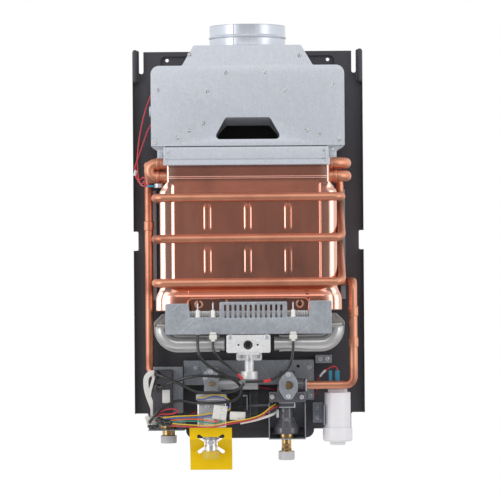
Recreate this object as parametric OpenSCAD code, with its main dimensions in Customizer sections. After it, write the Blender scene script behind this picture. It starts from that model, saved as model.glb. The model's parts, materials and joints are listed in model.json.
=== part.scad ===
/* [Back plate] */
// Width of the back plate
plate_w = 340; // [300:1:380]
// Height of the back plate above the origin
plate_top = 12.5; // [8:0.5:20]
// Thickness of the painted sheet
plate_t = 1; // [0.7:0.1:1.6]
// Distance the plate stands off the wall
stand_off = 4; // [2.5:0.5:6]
// Depth of the folded side rims
rim_depth = 10; // [6:0.5:14]
// Spacing of the two wall holes
wall_hole_gap = 238; // [200:1:260]
// Diameter of the wall holes
wall_hole_d = 5; // [3.5:0.1:7]
/* [Draught hood] */
// Thickness of the galvanised sheet
tin = 0.8; // [0.5:0.05:1.2]
// Outer diameter of the flue collar
collar_d = 110; // [90:1:120]
// Height of the flue collar
collar_h = 31; // [24:1:40]
// Height of the round bead on the collar
bead_z = 14; // [8:1:20]
// Width of the hood
hood_w = 278; // [250:1:300]
// Depth of the hood
hood_depth = 116; // [105:1:125]
// Lean of the window sides
window_lean = 17; // [8:1:22]
// Height of the hood window
window_h = 31; // [20:1:36]
/* [Heat exchanger] */
// Thickness of the copper sheet
copper_t = 0.8; // [0.5:0.1:1.2]
// Half width of the shell below its neck
shell_half = 127.5; // [120:0.5:127.5]
// Diameter of the fin tubes
fin_tube_d = 16; // [12:0.5:17]
// Wall of the fin tubes
fin_tube_wall = 0.8; // [0.5:0.1:1.5]
// Spacing of the fins
fin_pitch = 4; // [3:0.5:7]
// Thickness of a fin
fin_t = 0.5; // [0.3:0.05:0.8]
// Diameter of the water pipes
pipe_d = 12; // [10:0.5:12]
// Wall of the water pipes
pipe_wall = 0.8; // [0.5:0.1:1.5]
// Thickness of the solder sleeves
sleeve_wall = 1.2; // [0.8:0.1:1.8]
/* [Burner] */
// Width of the burner tray
burner_w = 274; // [250:1:276]
// Height of the burner tray
tray_h = 19; // [16:1:22]
// Spacing of the burner bars
bar_pitch = 20; // [16:1:24]
// Width of a burner bar
bar_w = 12; // [8:0.5:14]
// Width of a slot in a burner bar
port_w = 1.6; // [1:0.1:2.5]
// Spacing of the slots in the guard comb
comb_pitch = 7.3; // [6:0.1:8.6]
// Width of a slot in the guard comb
comb_slot = 3.4; // [2:0.1:4.4]
/* [Gas and water valves] */
// Diameter of the gas tap spindle
gas_spindle_d = 6; // [4:0.1:7.5]
// Diameter of the water regulator spindle
water_spindle_d = 8; // [6:0.1:10]
// Gap around the turning spindles
spindle_gap = 0.05; // [0.02:0.01:0.09]
// Diameter of the push rod
rod_d = 4; // [3:0.1:5]
// Gap around the sliding push rod
rod_gap = 0.05; // [0.02:0.01:0.09]
/* [Connections] */
// Outer diameter of the pipe threads
thread_d = 20.9; // [18:0.1:21.4]
// Gap between a thread and its dust cap
cap_gap = 0.3; // [0.15:0.05:0.6]
// Wall of the dust caps
cap_wall = 1; // [0.6:0.1:1.6]
// Thickness of the gas tag card
tag_t = 0.6; // [0.3:0.1:1]
/* [Battery case] */
// Diameter of the round cell
cell_d = 34.2; // [26:0.1:34.4]
// Length of the round cell
cell_h = 61.5; // [50:0.5:61.5]
// Wall of the battery case
case_wall = 1.4; // [1:0.1:2]
// Gap between the cell and its case
cell_gap = 0.5; // [0.3:0.1:1]
// Gap between the case and its screw cap
lid_gap = 0.6; // [0.2:0.05:0.6]
/* [Leads] */
// Diameter of the ignition leads
lead_d = 3.6; // [2.5:0.1:4.4]
// Diameter of the thin wires
wire_d = 1.8; // [1.2:0.1:2.2]
/* [Hidden] */
plate_front = stand_off + plate_t;
hood_rear = 12;
hood_face = hood_rear + hood_depth;
collar_x = 0.4;
collar_depth = hood_rear + hood_depth / 2;
coil_front = 119 + pipe_d / 2;
coil_rear = 19.5 - pipe_d / 2;
coil_side = shell_half + 0.3 + pipe_d / 2;
row_low = -175.3;
row_high = -156.4;
low_row = [41, 68, 95];
high_row = [55, 95];
thread_r = thread_d / 2;
cap_bore = thread_r + cap_gap;
cap_r = cap_bore + cap_wall;
cell_bore = cell_d / 2 + cell_gap;
case_r = cell_bore + case_wall;
lid_bore = case_r + lid_gap;
case_top = -490;
cell_top = case_top - 1.8;
case_rim = cell_top - cell_h + 1.3;
battery_x = 128;
battery_depth = 62;
water_x = 53;
water_depth = 70;
outlet_x = -119.5;
outlet_depth = 38;
gas_x = -57;
gas_depth = 70;
tap_x = gas_x + 3;
cover_face = gas_depth + 32;
rod_depth = water_depth - 4;
port_depth = 80;
guard_face = 132;
electrode_r = 2.9;
electrode_depth = guard_face - tin - electrode_r - 0.1;
electrode_at = [-74, -52, 63];
tray_floor = -392;
tray_top = tray_floor + tray_h;
bar_count = floor((burner_w - 34) / bar_pitch);
mix_bend = 22.5;
mix_level = tray_floor - 2 - mix_bend;
mix_x = burner_w / 2 - 11.8;
pad_half = wall_hole_gap / 2 + 10.3;
comb_x = 6;
comb_half = 5.5 * comb_pitch + comb_slot / 2 + 6.65;

// A point given by its distance to the right, its distance in front of the wall and its height
function pt(x, depth, z) = [x, -depth, z];
function unit(v) = v / norm(v);
function side_of(w) = abs(w[2]) < 0.9 ? unit(cross([0, 0, 1], w)) : unit(cross([1, 0, 0], w));
// Turns a direction so that it stays square to the next stretch of a path
function carry(u, w) = unit(u - (u * w) * w);
// Corner points of a closed outline, each with its own rounding radius
function corner(p, a, b, r, n) = r == 0 ? [[p[0], p[1]]] :
  let (u = unit(a - p), v = unit(b - p), half = acos(max(-1, min(1, u * v))) / 2,
    c = p + unit(u + v) * r / sin(half), from = p + u * r / tan(half), to = p + v * r / tan(half),
    a0 = atan2(from[1] - c[1], from[0] - c[0]), a1 = atan2(to[1] - c[1], to[0] - c[0]),
    sweep = (a1 - a0 + 540) % 360 - 180)
  [for (i = [0:n]) c + r * [cos(a0 + sweep * i / n), sin(a0 + sweep * i / n)]];
function xy(p) = [p[0], p[1]];
function rounded(p, n = 5) = [for (i = [0:len(p) - 1]) let (k = len(p))
  each corner(xy(p[i]), xy(p[(i + k - 1) % k]), xy(p[(i + 1) % k]), p[i][2], n)];
// Rounded rectangle given by its four limits
function panel(x0, x1, z0, z1, r = 0, n = 5) =
  rounded([[x0, z0, r], [x1, z0, r], [x1, z1, r], [x0, z1, r]], n);
// Path with its corners rounded, straight parts kept whole
function bent(p, r, n = 4) = [p[0], for (i = [1:len(p) - 2])
  let (a = unit(p[i - 1] - p[i]), b = unit(p[i + 1] - p[i]), half = acos(max(-1, min(1, a * b))) / 2,
    c = p[i] + unit(a + b) * r / sin(half), from = p[i] + a * r / tan(half) - c, to = p[i] + b * r / tan(half) - c,
    sweep = acos(max(-1, min(1, unit(from) * unit(to)))))
  each [for (k = [0:n]) c + (from * sin(sweep * (1 - k / n)) + to * sin(sweep * k / n)) / sin(sweep)],
  p[len(p) - 1]];
// Smooth curve through the given points, its slope at each point weighted by the two distances
function curve(p, n = 3) = [for (i = [0:len(p) - 2]) let (b = p[i], c = p[i + 1], h = norm(c - b),
    from = i == 0 ? c - b : (c - p[i - 1]) * h / (h + norm(b - p[i - 1])),
    to = i == len(p) - 2 ? c - b : (p[i + 2] - b) * h / (h + norm(p[i + 2] - c)))
  for (k = [0:n - 1]) let (t = k / n, u = 1 - t)
    u * u * (1 + 2 * t) * b + t * t * (3 - 2 * t) * c + u * u * t * from - t * t * u * to,
  p[len(p) - 1]];
function tangent(p, i) = i == 0 ? unit(p[1] - p[0]) : i == len(p) - 1 ? unit(p[i] - p[i - 1]) :
  unit(unit(p[i] - p[i - 1]) + unit(p[i + 1] - p[i]));
function sides(p, i = 0, u = undef) = i == len(p) ? [] :
  let (w = tangent(p, i), s = u == undef ? side_of(w) : carry(u, w)) concat([s], sides(p, i + 1, s));
function ring(c, u, w, a, b, n) = let (v = cross(w, u))
  [for (k = [0:n - 1]) c + a * cos(360 * k / n) * u + b * sin(360 * k / n) * v];
function rings(p, a, b, n) = let (s = sides(p)) [for (i = [0:len(p) - 1])
  ring(p[i], s[i], tangent(p, i), is_list(a) ? a[i] : a, is_list(b) ? b[i] : b, n)];
// Skin over a row of rings, capped at both ends or joined last to first
module skin(rows, joined = false) {
  n = len(rows[0]);
  m = len(rows);
  last = joined ? m - 1 : m - 2;
  polyhedron(points = [for (row = rows) each row], faces = concat(
    joined ? [] : [[for (k = [0:n - 1]) k], [for (k = [n - 1:-1:0]) (m - 1) * n + k]],
    [for (i = [0:last]) for (k = [0:n - 1]) each
      [[i * n + k, (i + 1) % m * n + k, i * n + (k + 1) % n],
       [i * n + (k + 1) % n, (i + 1) % m * n + k, (i + 1) % m * n + (k + 1) % n]]]), convexity = 12);
}
module wire(p, d, n = 6) {
  skin(rings(p, d / 2, d / 2, n));
}
module pipe(p, d, wall, n = 14) {
  outer = rings(p, d / 2, d / 2, n);
  inner = rings(p, d / 2 - wall, d / 2 - wall, n);
  skin(concat(outer, [for (i = [len(inner) - 1:-1:0]) inner[i]]), true);
}
module block(x0, x1, d0, d1, z0, z1) {
  translate([x0, -d1, z0]) cube([x1 - x0, d1 - d0, z1 - z0]);
}
// Flat outline seen from the front, extruded between two depths
module sheet(d0, d1) {
  translate([0, -d0, 0]) rotate([90, 0, 0]) linear_extrude(d1 - d0) children();
}
module rod_y(x, z, d0, d1, r) {
  translate([x, -d0, z]) rotate([90, 0, 0]) cylinder(h = d1 - d0, r = r, $fn = 40);
}
module rod_z(x, depth, z0, z1, r) {
  translate([x, -depth, z0]) cylinder(h = z1 - z0, r = r, $fn = 40);
}
module rod_x(x0, x1, depth, z, r) {
  translate([x0, -depth, z]) rotate([0, 90, 0]) cylinder(h = x1 - x0, r = r, $fn = 40);
}
// Pan head with a cross recess, its seat at the given depth
module screw_head(x, z, depth, r = 3.4, h = 2) {
  difference() {
    rod_y(x, z, depth, depth + h, r);
    block(x - r * 0.6, x + r * 0.6, depth + h - 0.8, depth + h + 1, z - 0.5, z + 0.5);
    block(x - 0.5, x + 0.5, depth + h - 0.8, depth + h + 1, z - r * 0.6, z + r * 0.6);
  }
}

// Back plate with its pressed pads, side rims and corner fingers
module plate_outline() {
  half = plate_w / 2;
  difference() {
    polygon(panel(-half, half, -547, plate_top, 4));
    for (s = [-1, 1]) {
      polygon(panel(min(s * 150, s * 200), max(s * 150, s * 200), -560, -523, 3));
      polygon(panel(min(s * 154, s * 160.5), max(s * 154, s * 160.5), -20, plate_top + 8, 3));
      polygon(panel(min(s * (half - 6.7), s * 200), max(s * (half - 6.7), s * 200), -281.7, -253.5, 2));
    }
  }
}
module back_plate() color("dimgray") {
  half = plate_w / 2;
  difference() {
    union() {
      sheet(stand_off, plate_front) difference() {
        plate_outline();
        polygon(panel(-pad_half + plate_t, pad_half - plate_t, -16 + plate_t, 6.6 - plate_t, 7));
      }
      sheet(0, plate_front) difference() {
        polygon(panel(-pad_half, pad_half, -16, 6.6, 8));
        polygon(panel(-pad_half + plate_t, pad_half - plate_t, -16 + plate_t, 6.6 - plate_t, 7));
      }
      sheet(0, plate_t) {
        polygon(panel(-pad_half, pad_half, -16, 6.6, 8));
        polygon(rounded([[-95, -560.5, 12], [95, -560.5, 12], [95, -546, 0], [-95, -546, 0]]));
      }
      block(-95, 95, 0, plate_front, -547, -547 + plate_t);
      for (s = [-1, 1]) {
        for (z = [[-523, -281.7], [-253.5, -20]])
          block(min(s * half, s * (half - plate_t)), max(s * half, s * (half - plate_t)),
            stand_off, plate_front + rim_depth, z[0], z[1]);
        sheet(plate_front + rim_depth - plate_t, plate_front + rim_depth)
          polygon(panel(min(s * half, s * (half - 10)), max(s * half, s * (half - 10)), -32, plate_top + 1.5, 3));
      }
    }
    for (s = [-1, 1]) rod_y(s * wall_hole_gap / 2, 0, -1, plate_front + 1, wall_hole_d / 2);
  }
}
// Folded standoffs between the plate, the hood, the heat exchanger, the burner and the spark box
module standoff(x, z, w, h, far) {
  difference() {
    block(x - w / 2, x + w / 2, plate_front, far, z - h / 2, z + h / 2);
    block(x - w / 2 + 1.2, x + w / 2 - 1.2, plate_front - 1, far - 1.2, z - h, z + h);
  }
}
module support_brackets() color("silver") {
  for (s = [-1, 1]) {
    standoff(s * 100, -40, 24, 16, hood_rear);
    standoff(s * 100, -115, 24, 16, hood_rear);
    standoff(s * 100, -358, 24, 14, 14);
    standoff(s * 108, -387, 20, 16, 34);
    block(min(s * 136, s * 143), max(s * 136, s * 143), plate_front, plate_front + 1.2, -355, -193);
  }
  standoff(109, -443, 24, 12, 30);
  block(-141, -98, 48.8, 50, -520, -452);
  block(-99.2, -98, plate_front, 50, -520, -452);
}

// Draught hood
function hood_outline(t, low) = rounded([[-hood_w / 2 + t, low, 0], [hood_w / 2 - t, low, 0],
  [hood_w / 2 - t, -16.5 - t, 12 - t], [94 - 0.574 * t, -16.5 - t, 3 + t], [77 - 0.574 * t, 12.5 - t, 3],
  [-77 + 0.574 * t, 12.5 - t, 3], [-94 + 0.574 * t, -16.5 - t, 3 + t], [-hood_w / 2 + t, -16.5 - t, 12 - t]]);
function window_outline(t) = rounded([[-32 - window_lean - t, -122.5 - t, 4 + t],
  [32 + window_lean + t, -122.5 - t, 4 + t], [32 + t, -122.5 + window_h + t, 4 + t],
  [-32 - t, -122.5 + window_h + t, 4 + t]]);
module hood_box() color("gainsboro") difference() {
  union() {
    sheet(hood_rear, hood_face - tin) difference() {
      polygon(hood_outline(0, -132));
      polygon(hood_outline(tin, -134));
    }
    sheet(hood_rear, hood_rear + tin) polygon(hood_outline(0, -132));
  }
  rod_z(collar_x, collar_depth, 8, 16, collar_d / 2 - 1);
}
module hood_front() color("silver") {
  sheet(hood_face - tin, hood_face) difference() {
    polygon(hood_outline(0, -132));
    polygon(window_outline(0));
  }
  sheet(hood_face - 5, hood_face - tin) difference() {
    polygon(window_outline(tin));
    polygon(window_outline(0));
  }
  for (p = [[-58.4, -52.9], [-30.4, -27.1], [24.9, -26.1], [53.3, -52.9], [-63.4, -99.5], [-84.2, -109.6],
      [-100.7, -119.6], [59.3, -96.7], [85.1, -110.3], [102.4, -116.8], [10.8 - hood_w / 2, -51.2],
      [hood_w / 2 - 15.8, -46.1], [hood_w / 2 - 7.2, -123.9], [7 - hood_w / 2, -126.8]])
    rod_y(p[0], p[1], hood_face, hood_face + 0.4, 1.8);
}
module hood_baffle() color("darkgray")
  translate([-hood_w / 2 + tin, 0, 0]) rotate([90, 0, 90]) linear_extrude(hood_w - 2 * tin)
    polygon([[-112, -96], [-72, -64], [-68, -64], [-28, -96], [-28, -97], [-68, -65], [-72, -65], [-112, -97]]);
function level(x0, x1, d0, d1, z, r) = [for (q = panel(x0, x1, -d1, -d0, r, 3)) [q[0], q[1], z]];
// Sheet funnel or duct between rectangular sections given as half width, rear, front and height
module duct(sections, t, r) {
  skin(concat([for (q = sections) level(-q[0], q[0], q[1], q[2], q[3], r)],
    [for (i = [len(sections) - 1:-1:0]) let (q = sections[i])
      level(-q[0] + t, q[0] - t, q[1] + t, q[2] - t, q[3], r - t)]), true);
}
module hood_skirt() color("silver") difference() {
  duct([[118, 18, 118.4, -159.5], [118, 18, 118.4, -145], [hood_w / 2, hood_rear, hood_face, -132]], tin, 2);
  for (d = high_row) rod_x(-130, 130, d, row_high, fin_tube_d / 2 + sleeve_wall + 0.3);
}
module flue_collar() color("gainsboro") translate([collar_x, -collar_depth, 12.5]) rotate_extrude($fn = 72) {
  translate([collar_d / 2 - 1, 0]) square([1, collar_h]);
  translate([collar_d / 2 - 1, 0]) square([3.2, 0.8]);
  intersection() {
    translate([collar_d / 2 - 0.4, bead_z]) circle(r = 1.8, $fn = 24);
    translate([collar_d / 2 - 1, 0]) square([5, collar_h]);
  }
}

// Finned heat exchanger
module fin_pack() color("sienna") {
  n = floor(224 / fin_pitch);
  for (i = [0:n]) translate([(i - n / 2) * fin_pitch - fin_t / 2, 0, 0])
    rotate([90, 0, 90]) linear_extrude(fin_t) difference() {
      polygon(panel(-112, -25, row_low - 10.3, row_high + 10, 1));
      for (d = low_row) translate([-d, row_low]) circle(r = fin_tube_d / 2, $fn = 32);
      for (d = high_row) translate([-d, row_high]) circle(r = fin_tube_d / 2, $fn = 32);
    }
}
module fin_tube(x0, x1, depth, z, reach = 5) {
  difference() {
    union() {
      rod_x(x0, x1, depth, z, fin_tube_d / 2);
      rod_x(x0, x0 + 5, depth, z, fin_tube_d / 2 + sleeve_wall);
      rod_x(x1 - reach, x1, depth, z, fin_tube_d / 2 + sleeve_wall);
    }
    rod_x(x0 - 1, x1 + 1, depth, z, fin_tube_d / 2 - fin_tube_wall);
  }
}
module reducer(x0, x1, depth, z) {
  difference() {
    rod_x(x0, x1, depth, z, fin_tube_d / 2 + sleeve_wall);
    rod_x(x0 - 1, x1 + 1, depth, z, pipe_d / 2);
  }
}
module fin_tubes() color("peru") {
  fin_tube(-129, 121, low_row[0], row_low, 3);
  fin_tube(-129, 128.5, low_row[1], row_low);
  fin_tube(-133, 128.5, low_row[2], row_low);
  fin_tube(-121, 122, high_row[0], row_high);
  fin_tube(-133, 122, high_row[1], row_high);
  reducer(121, 124, low_row[0], row_low);
  reducer(-124, -121, high_row[0], row_high);
}
module half_turn(x, depth, z, gap, turn) {
  translate([x, -depth, z]) rotate(turn) rotate_extrude(angle = 180, $fn = 48)
    translate([gap / 2, 0]) difference() {
      circle(r = fin_tube_d / 2, $fn = 32);
      circle(r = fin_tube_d / 2 - fin_tube_wall, $fn = 32);
    }
}
module tube_bends() color("peru") {
  half_turn(-129, (low_row[0] + low_row[1]) / 2, row_low, low_row[1] - low_row[0], [0, 0, 90]);
  half_turn(128.5, (low_row[1] + low_row[2]) / 2, row_low, low_row[2] - low_row[1], [0, 0, -90]);
  half_turn(-133, low_row[2], (row_low + row_high) / 2, row_high - row_low, [90, -90, 0]);
  half_turn(122, (high_row[0] + high_row[1]) / 2, row_high, high_row[1] - high_row[0], [0, 0, -90]);
}
module copper_shell() color("saddlebrown") difference() {
  union() {
    duct([[134, 14, 125, -369], [134, 14, 125, -347], [shell_half, 20, 118.8, -335], [shell_half, 20, 118.8, -197],
      [116.8, 19.2, 116.8, -183], [116.8, 19.2, 116.8, -147]], copper_t, 8);
    for (x = [-59, -1, 57]) for (z = [[-253, -218], [-315, -281]])
      sheet(118.8 - copper_t / 2, 120) polygon(panel(x - 5, x + 5, z[0], z[1], 4.5));
    sheet(125 - copper_t / 2, 126.4) difference() {
      polygon(rounded([[-91, -369, 0], [89, -369, 0], [89, -348, 10], [-91, -348, 10]]));
      polygon(rounded([[-88, -380, 0], [86, -380, 0], [86, -351, 8], [-88, -351, 8]]));
    }
  }
  sheet(110, 130) polygon(rounded([[-88, -380, 0], [86, -380, 0], [86, -351, 8], [-88, -351, 8]]));
  for (d = low_row) rod_x(-140, 140, d, row_low, fin_tube_d / 2);
  for (d = high_row) rod_x(-140, 140, d, row_high, fin_tube_d / 2 + sleeve_wall);
}

// Water pipes
module water_coil() color("chocolate") pipe(bent([pt(126, coil_rear, -329),
  pt(-coil_side, coil_rear, -329), pt(-coil_side, coil_front, -328.5), pt(coil_side, coil_front, -328),
  pt(coil_side, coil_rear, -267), pt(-coil_side, coil_rear, -266.3), pt(-coil_side, coil_front, -265.2),
  pt(coil_side, coil_front, -264.5), pt(coil_side, coil_rear, -207.5), pt(-coil_side, coil_rear, -206.8),
  pt(-coil_side, coil_front, -206), pt(coil_side, coil_front, -205.4), pt(coil_side, low_row[0], -205),
  pt(coil_side, low_row[0], row_low), pt(121.5, low_row[0], row_low)], 12), pipe_d, pipe_wall);
module sleeve_z(x, depth, z, h) {
  difference() {
    rod_z(x, depth, z, z + h, pipe_d / 2 + sleeve_wall);
    rod_z(x, depth, z - 1, z + h + 1, pipe_d / 2 - pipe_wall / 2);
  }
}
module hot_pipe() color("chocolate") {
  pipe(bent([pt(-121.5, high_row[0], row_high), pt(-147, high_row[0], row_high), pt(-147, 24, row_high - 2),
    pt(-147, 24, -458), pt(outlet_x, outlet_depth, -486), pt(outlet_x, outlet_depth, -533.5)], 12, 4),
    pipe_d, pipe_wall);
  sleeve_z(-147, 24, -252, 14);
}
module cold_pipe() color("chocolate") {
  pipe(bent([pt(water_x + 28.3, port_depth, -478.5), pt(151, port_depth, -478.5), pt(151, port_depth, -329),
    pt(151, coil_rear, -329), pt(127, coil_rear, -329)], 12, 4), pipe_d, pipe_wall);
  sleeve_z(151, port_depth, -379, 14);
  sleeve_z(151, port_depth, -424, 14);
}

// Burner
function tray_outline(t) = rounded([[-burner_w / 2 + t, tray_floor + t, 0], [burner_w / 2 - t, tray_floor + t, 0],
  [burner_w / 2 - t, tray_top - 12, 0], [burner_w / 2 - 12, tray_top - t, 0],
  [-burner_w / 2 + 12, tray_top - t, 0], [-burner_w / 2 + t, tray_top - 12, 0]]);
module burner_tray() color("lightgray") difference() {
  sheet(34, 122) polygon(tray_outline(0));
  sheet(34 + tin, 122 - tin) polygon(tray_outline(tin));
  for (s = [-1, 1]) rod_z(s * mix_x, 109, tray_floor - 2, tray_floor + 4, 10.5);
}
module burner_bars() color("gray") for (i = [0:bar_count - 1])
  translate([(i - (bar_count - 1) / 2) * bar_pitch - bar_w / 2, 0, 0])
  rotate([90, 0, 90]) linear_extrude(bar_w) difference() {
    polygon(rounded([[-114, tray_top, 0], [-42, tray_top, 0], [-42, tray_top + 12, 3], [-114, tray_top + 12, 3]]));
    for (k = [0:10]) translate([-108 + k * 6 - port_w / 2, tray_top + 6]) square([port_w, 8]);
  }
module mixing_tube() {
  p = concat([for (x = [-36, -41, -50, -68, -86]) pt(x, 109, mix_level)],
    [for (k = [0:6]) pt(mix_bend - mix_x - mix_bend * sin(15 * k), 109, tray_floor - 2 - mix_bend * cos(15 * k))],
    [pt(-mix_x, 109, tray_floor - 0.05)]);
  r = [12.3, 9.8, 8.4, 8.8, 11, 11.3, 11.5, 11.5, 11.5, 11.5, 11.5, 11.5, 11.5];
  outer = rings(p, r, r, 20);
  inner = rings(p, [for (q = r) q - tin], [for (q = r) q - tin], 20);
  skin(concat(outer, [for (i = [len(inner) - 1:-1:0]) inner[i]]), true);
}
module mixing_tubes() color("lightgray") {
  mixing_tube();
  mirror([1, 0, 0]) mixing_tube();
}
module guard_plate() color("darkgray") {
  sheet(guard_face - tin, guard_face) difference() {
    polygon(rounded([[-120.5, -402.4, 2], [118.5, -402.4, 2], [118.5, -355, 5], [86, -355, 3], [86, -375.5, 2],
      [comb_x + comb_half, -375.5, 2], [comb_x + comb_half, -356, 3], [comb_x - comb_half, -356, 3],
      [comb_x - comb_half, -375.5, 2], [-85, -375.5, 2], [-87, -358, 3], [-120.5, -358, 5]]));
    for (i = [0:11]) polygon(panel(comb_x + (i - 5.5) * comb_pitch - comb_slot / 2,
      comb_x + (i - 5.5) * comb_pitch + comb_slot / 2, -379, -360, comb_slot / 2 - 0.1));
  }
  difference() {
    block(-118, 116, 122, guard_face - tin, tray_floor + 1, tray_floor + 1 + tin);
    for (x = electrode_at) rod_z(x, electrode_depth, -400, -380, electrode_r + 0.3);
  }
}

// Gas side
module manifold() color("lightsteelblue") difference() {
  union() {
    block(-16, 14, 100, 128.8, -432, -408);
    rod_z(-0.5, 106, -458, -430, 6.5);
    rod_z(-0.5, 106, -467.7, -457, 12);
    block(-19, 18, 102, 110, -440, -431);
  }
  rod_z(-0.5, 106, -470, -414, 4);
  rod_x(-17, 15, 112, -416.5, 2);
}
module injectors() color("darkgoldenrod") for (s = [-1, 1]) translate([-1, 0, 0]) difference() {
  union() {
    rod_x(min(s * 15, s * 20), max(s * 15, s * 20), 112, -416.5, 6);
    rod_x(min(s * 19, s * 29), max(s * 19, s * 29), 112, -416.5, 3.5);
  }
  rod_x(min(s * 14, s * 30), max(s * 14, s * 30), 112, -416.5, 1);
}
module injector_cover() color("silver") {
  sheet(128.8, 130) difference() {
    polygon(panel(-33, 30.3, -435.3, -406.6, 3));
    translate([-2, -420]) circle(r = 5.5, $fn = 40);
    for (x = [-15.6, 11.9]) translate([x, -420]) circle(r = 1.5, $fn = 24);
  }
  for (x = [-20.5, 18]) sheet(130, 130.6) polygon(panel(x - 3.5, x + 3.5, -413, -409, 1.9));
}
module valve_bracket() color("silver") difference() {
  union() {
    sheet(30, 31.2) {
      polygon(panel(-97, 94.5, -480, -444, 2));
      polygon(panel(82.5, 94.5, -503, -444, 2));
    }
    block(-97, 94.5, plate_front, 31.2, -445.2, -444);
    block(-97, 82, plate_front, 31.2, -480, -478.8);
    sheet(31, 32.4) polygon(panel(-85.5, -73, -467, -448, 4));
  }
  rod_y(71.5, -453.2, 25, 35, 2.4);
}
module gas_valve_body() color("lightgray") difference() {
  union() {
    rod_x(gas_x + 7, 12, 92, -476, 8);
    block(-12, 11, 86, 114, -476, -467.7);
    block(gas_x - 9, gas_x + 11, gas_depth, 100, -487, -456);
    block(gas_x - 9, gas_x + 15, gas_depth - 14, gas_depth + 14, -545, -470);
    block(gas_x - 7, gas_x + 11, 31.2, gas_depth - 13, -477, -453);
    rod_z(gas_x, gas_depth, -557, -544, 12);
  }
  rod_y(tap_x, -475, 86, 101, gas_spindle_d / 2 + spindle_gap);
  rod_z(gas_x, gas_depth, -558, -500, 6);
  rod_z(-0.5, 106, -474, -466, 4);
}
module gas_spindle() color("goldenrod") difference() {
  rod_y(tap_x, -475, 86.3, 112, gas_spindle_d / 2);
  block(tap_x + gas_spindle_d / 6, tap_x + 10, 103, 113, -482, -468);
}
module gas_spindle_plate() color("silver") sheet(100, 101.2) translate([tap_x, -475]) difference() {
  polygon(rounded([[-15, 12, 3], [-6, 22, 3], [6, 20, 3], [10, 7, 2], [5.5, -10.5, 2], [-9, -10.5, 2]]));
  circle(r = gas_spindle_d / 2 + 1, $fn = 40);
}
module solenoid_cover() color("silver") {
  difference() {
    block(gas_x - 19, gas_x + 23, gas_depth + 14, cover_face, -538, -499);
    block(gas_x - 17.8, gas_x + 21.8, gas_depth + 13, cover_face - 1.2, -536.8, -500.2);
  }
  rod_y(gas_x + 2, -517, gas_depth + 14, cover_face - 1, 12);
  block(gas_x - 21, gas_x + 23.2, gas_depth + 14, gas_depth + 15.2, -499.5, -491);
}
module microswitch() color("black") {
  difference() {
    block(-31, -10, rod_depth - 9, rod_depth + 9, -520, -491);
    rod_y(-9, -494, rod_depth - 10, rod_depth + 10, 2);
  }
  rod_x(-10.5, -8.1, rod_depth, -508, 1.2);
}
module switch_bracket() color("silver") {
  difference() {
    block(-0.1, 1.1, plate_front, rod_depth + 12, -526, -490);
    rod_x(-1, 2, rod_depth, -508, rod_d / 2 + 0.4);
  }
  block(-31, 0.5, rod_depth - 10.2, rod_depth - 9, -526, -490);
  block(0.5, 12, plate_front, plate_front + 1.2, -526, -490);
}
module switch_lever() color("silver") {
  rod_y(-9, -494, rod_depth - 5, rod_depth + 5, 1.6);
  block(-9, -3.4, rod_depth - 5, rod_depth + 5, -494.4, -493.2);
  block(-4.6, -3.4, rod_depth - 5, rod_depth + 5, -515, -493.2);
}
module push_rod() color("gainsboro") {
  rod_x(-3.1 + rod_d / 2, water_x - 5, rod_depth, -508, rod_d / 2);
  translate([-3.1 + rod_d / 2, -rod_depth, -508]) sphere(r = rod_d / 2, $fn = 40);
}

// Water side
module water_valve_body() color("darkslategray") difference() {
  union() {
    rod_y(water_x + 3, -477, water_depth - 22, water_depth + 46, 13);
    rod_y(water_x + 2.7, -460.8, water_depth + 20, water_depth + 46, 4.6);
    rod_y(water_x + 2.7, -493.6, water_depth + 20, water_depth + 46, 4.6);
    rod_x(water_x + 3, water_x + 28, port_depth, -478.5, 10);
    block(water_x - 25, water_x + 28, water_depth + 14, water_depth + 26, -502.5, -487.5);
    block(water_x - 13, water_x + 17, water_depth - 20, water_depth + 25, -503, -480);
    block(water_x - 11, water_x + 11, water_depth - 14, water_depth + 14, -512, -502);
    rod_z(water_x, water_depth, -528, -511, 10.7);
    translate([water_x, -water_depth, 0]) rotate_extrude($fn = 48)
      polygon([[0, -549.5], [19, -549.5], [19, -541], [12.5, -531], [10.9, -526], [0, -526]]);
    block(water_x - 9, water_x + 15, 31.2, water_depth - 19, -479, -460);
  }
  rod_z(water_x, water_depth, -550, -490, 7);
  rod_x(water_x + 7, water_x + 29, port_depth, -478.5, 5);
  rod_y(water_x + 3.3, -477, water_depth + 26, water_depth + 47, water_spindle_d / 2 + spindle_gap);
  rod_x(water_x - 12, water_x - 1, rod_depth, -508, rod_d / 2 + rod_gap);
}
module water_valve_plate() color("silver") sheet(water_depth + 46, water_depth + 47.2) difference() {
  hull() {
    translate([water_x + 2.7, -462]) circle(r = 4.5, $fn = 32);
    translate([water_x + 2.7, -477]) circle(r = 13.4, $fn = 32);
    translate([water_x + 2.7, -493]) circle(r = 4.5, $fn = 32);
  }
  intersection() {
    translate([water_x + 3.3, -477]) circle(r = water_spindle_d / 2 + 2, $fn = 40);
    translate([water_x - 8, -490]) square([11.3 + water_spindle_d / 2 + 1, 30]);
  }
}
module water_spindle() color("goldenrod") translate([water_x + 3.3, -water_depth, -477]) difference() {
  rod_y(0, 0, 26.3, 60, water_spindle_d / 2);
  block(water_spindle_d / 6, 10, 49, 61, -7, 7);
  block(-6, 4, 57, 61, -0.6, 0.6);
}
module retaining_clip() color("silver") {
  for (z = [-503.8, -510.2]) rod_x(water_x - 10.7, water_x + 12, water_depth + 14.9, z, 0.8);
  rod_z(water_x + 12, water_depth + 14.9, -511.1, -503.1, 0.9);
  difference() {
    sheet(port_depth - 8, port_depth + 8) polygon(panel(water_x + 28, water_x + 30, -487, -470, 0));
    rod_x(water_x + 27, water_x + 31, port_depth, -478.5, pipe_d / 2);
  }
}
module flow_sensor() color("black")
  block(water_x - 19, water_x - 11, water_depth + 2, water_depth + 18, -511, -503);
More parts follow.
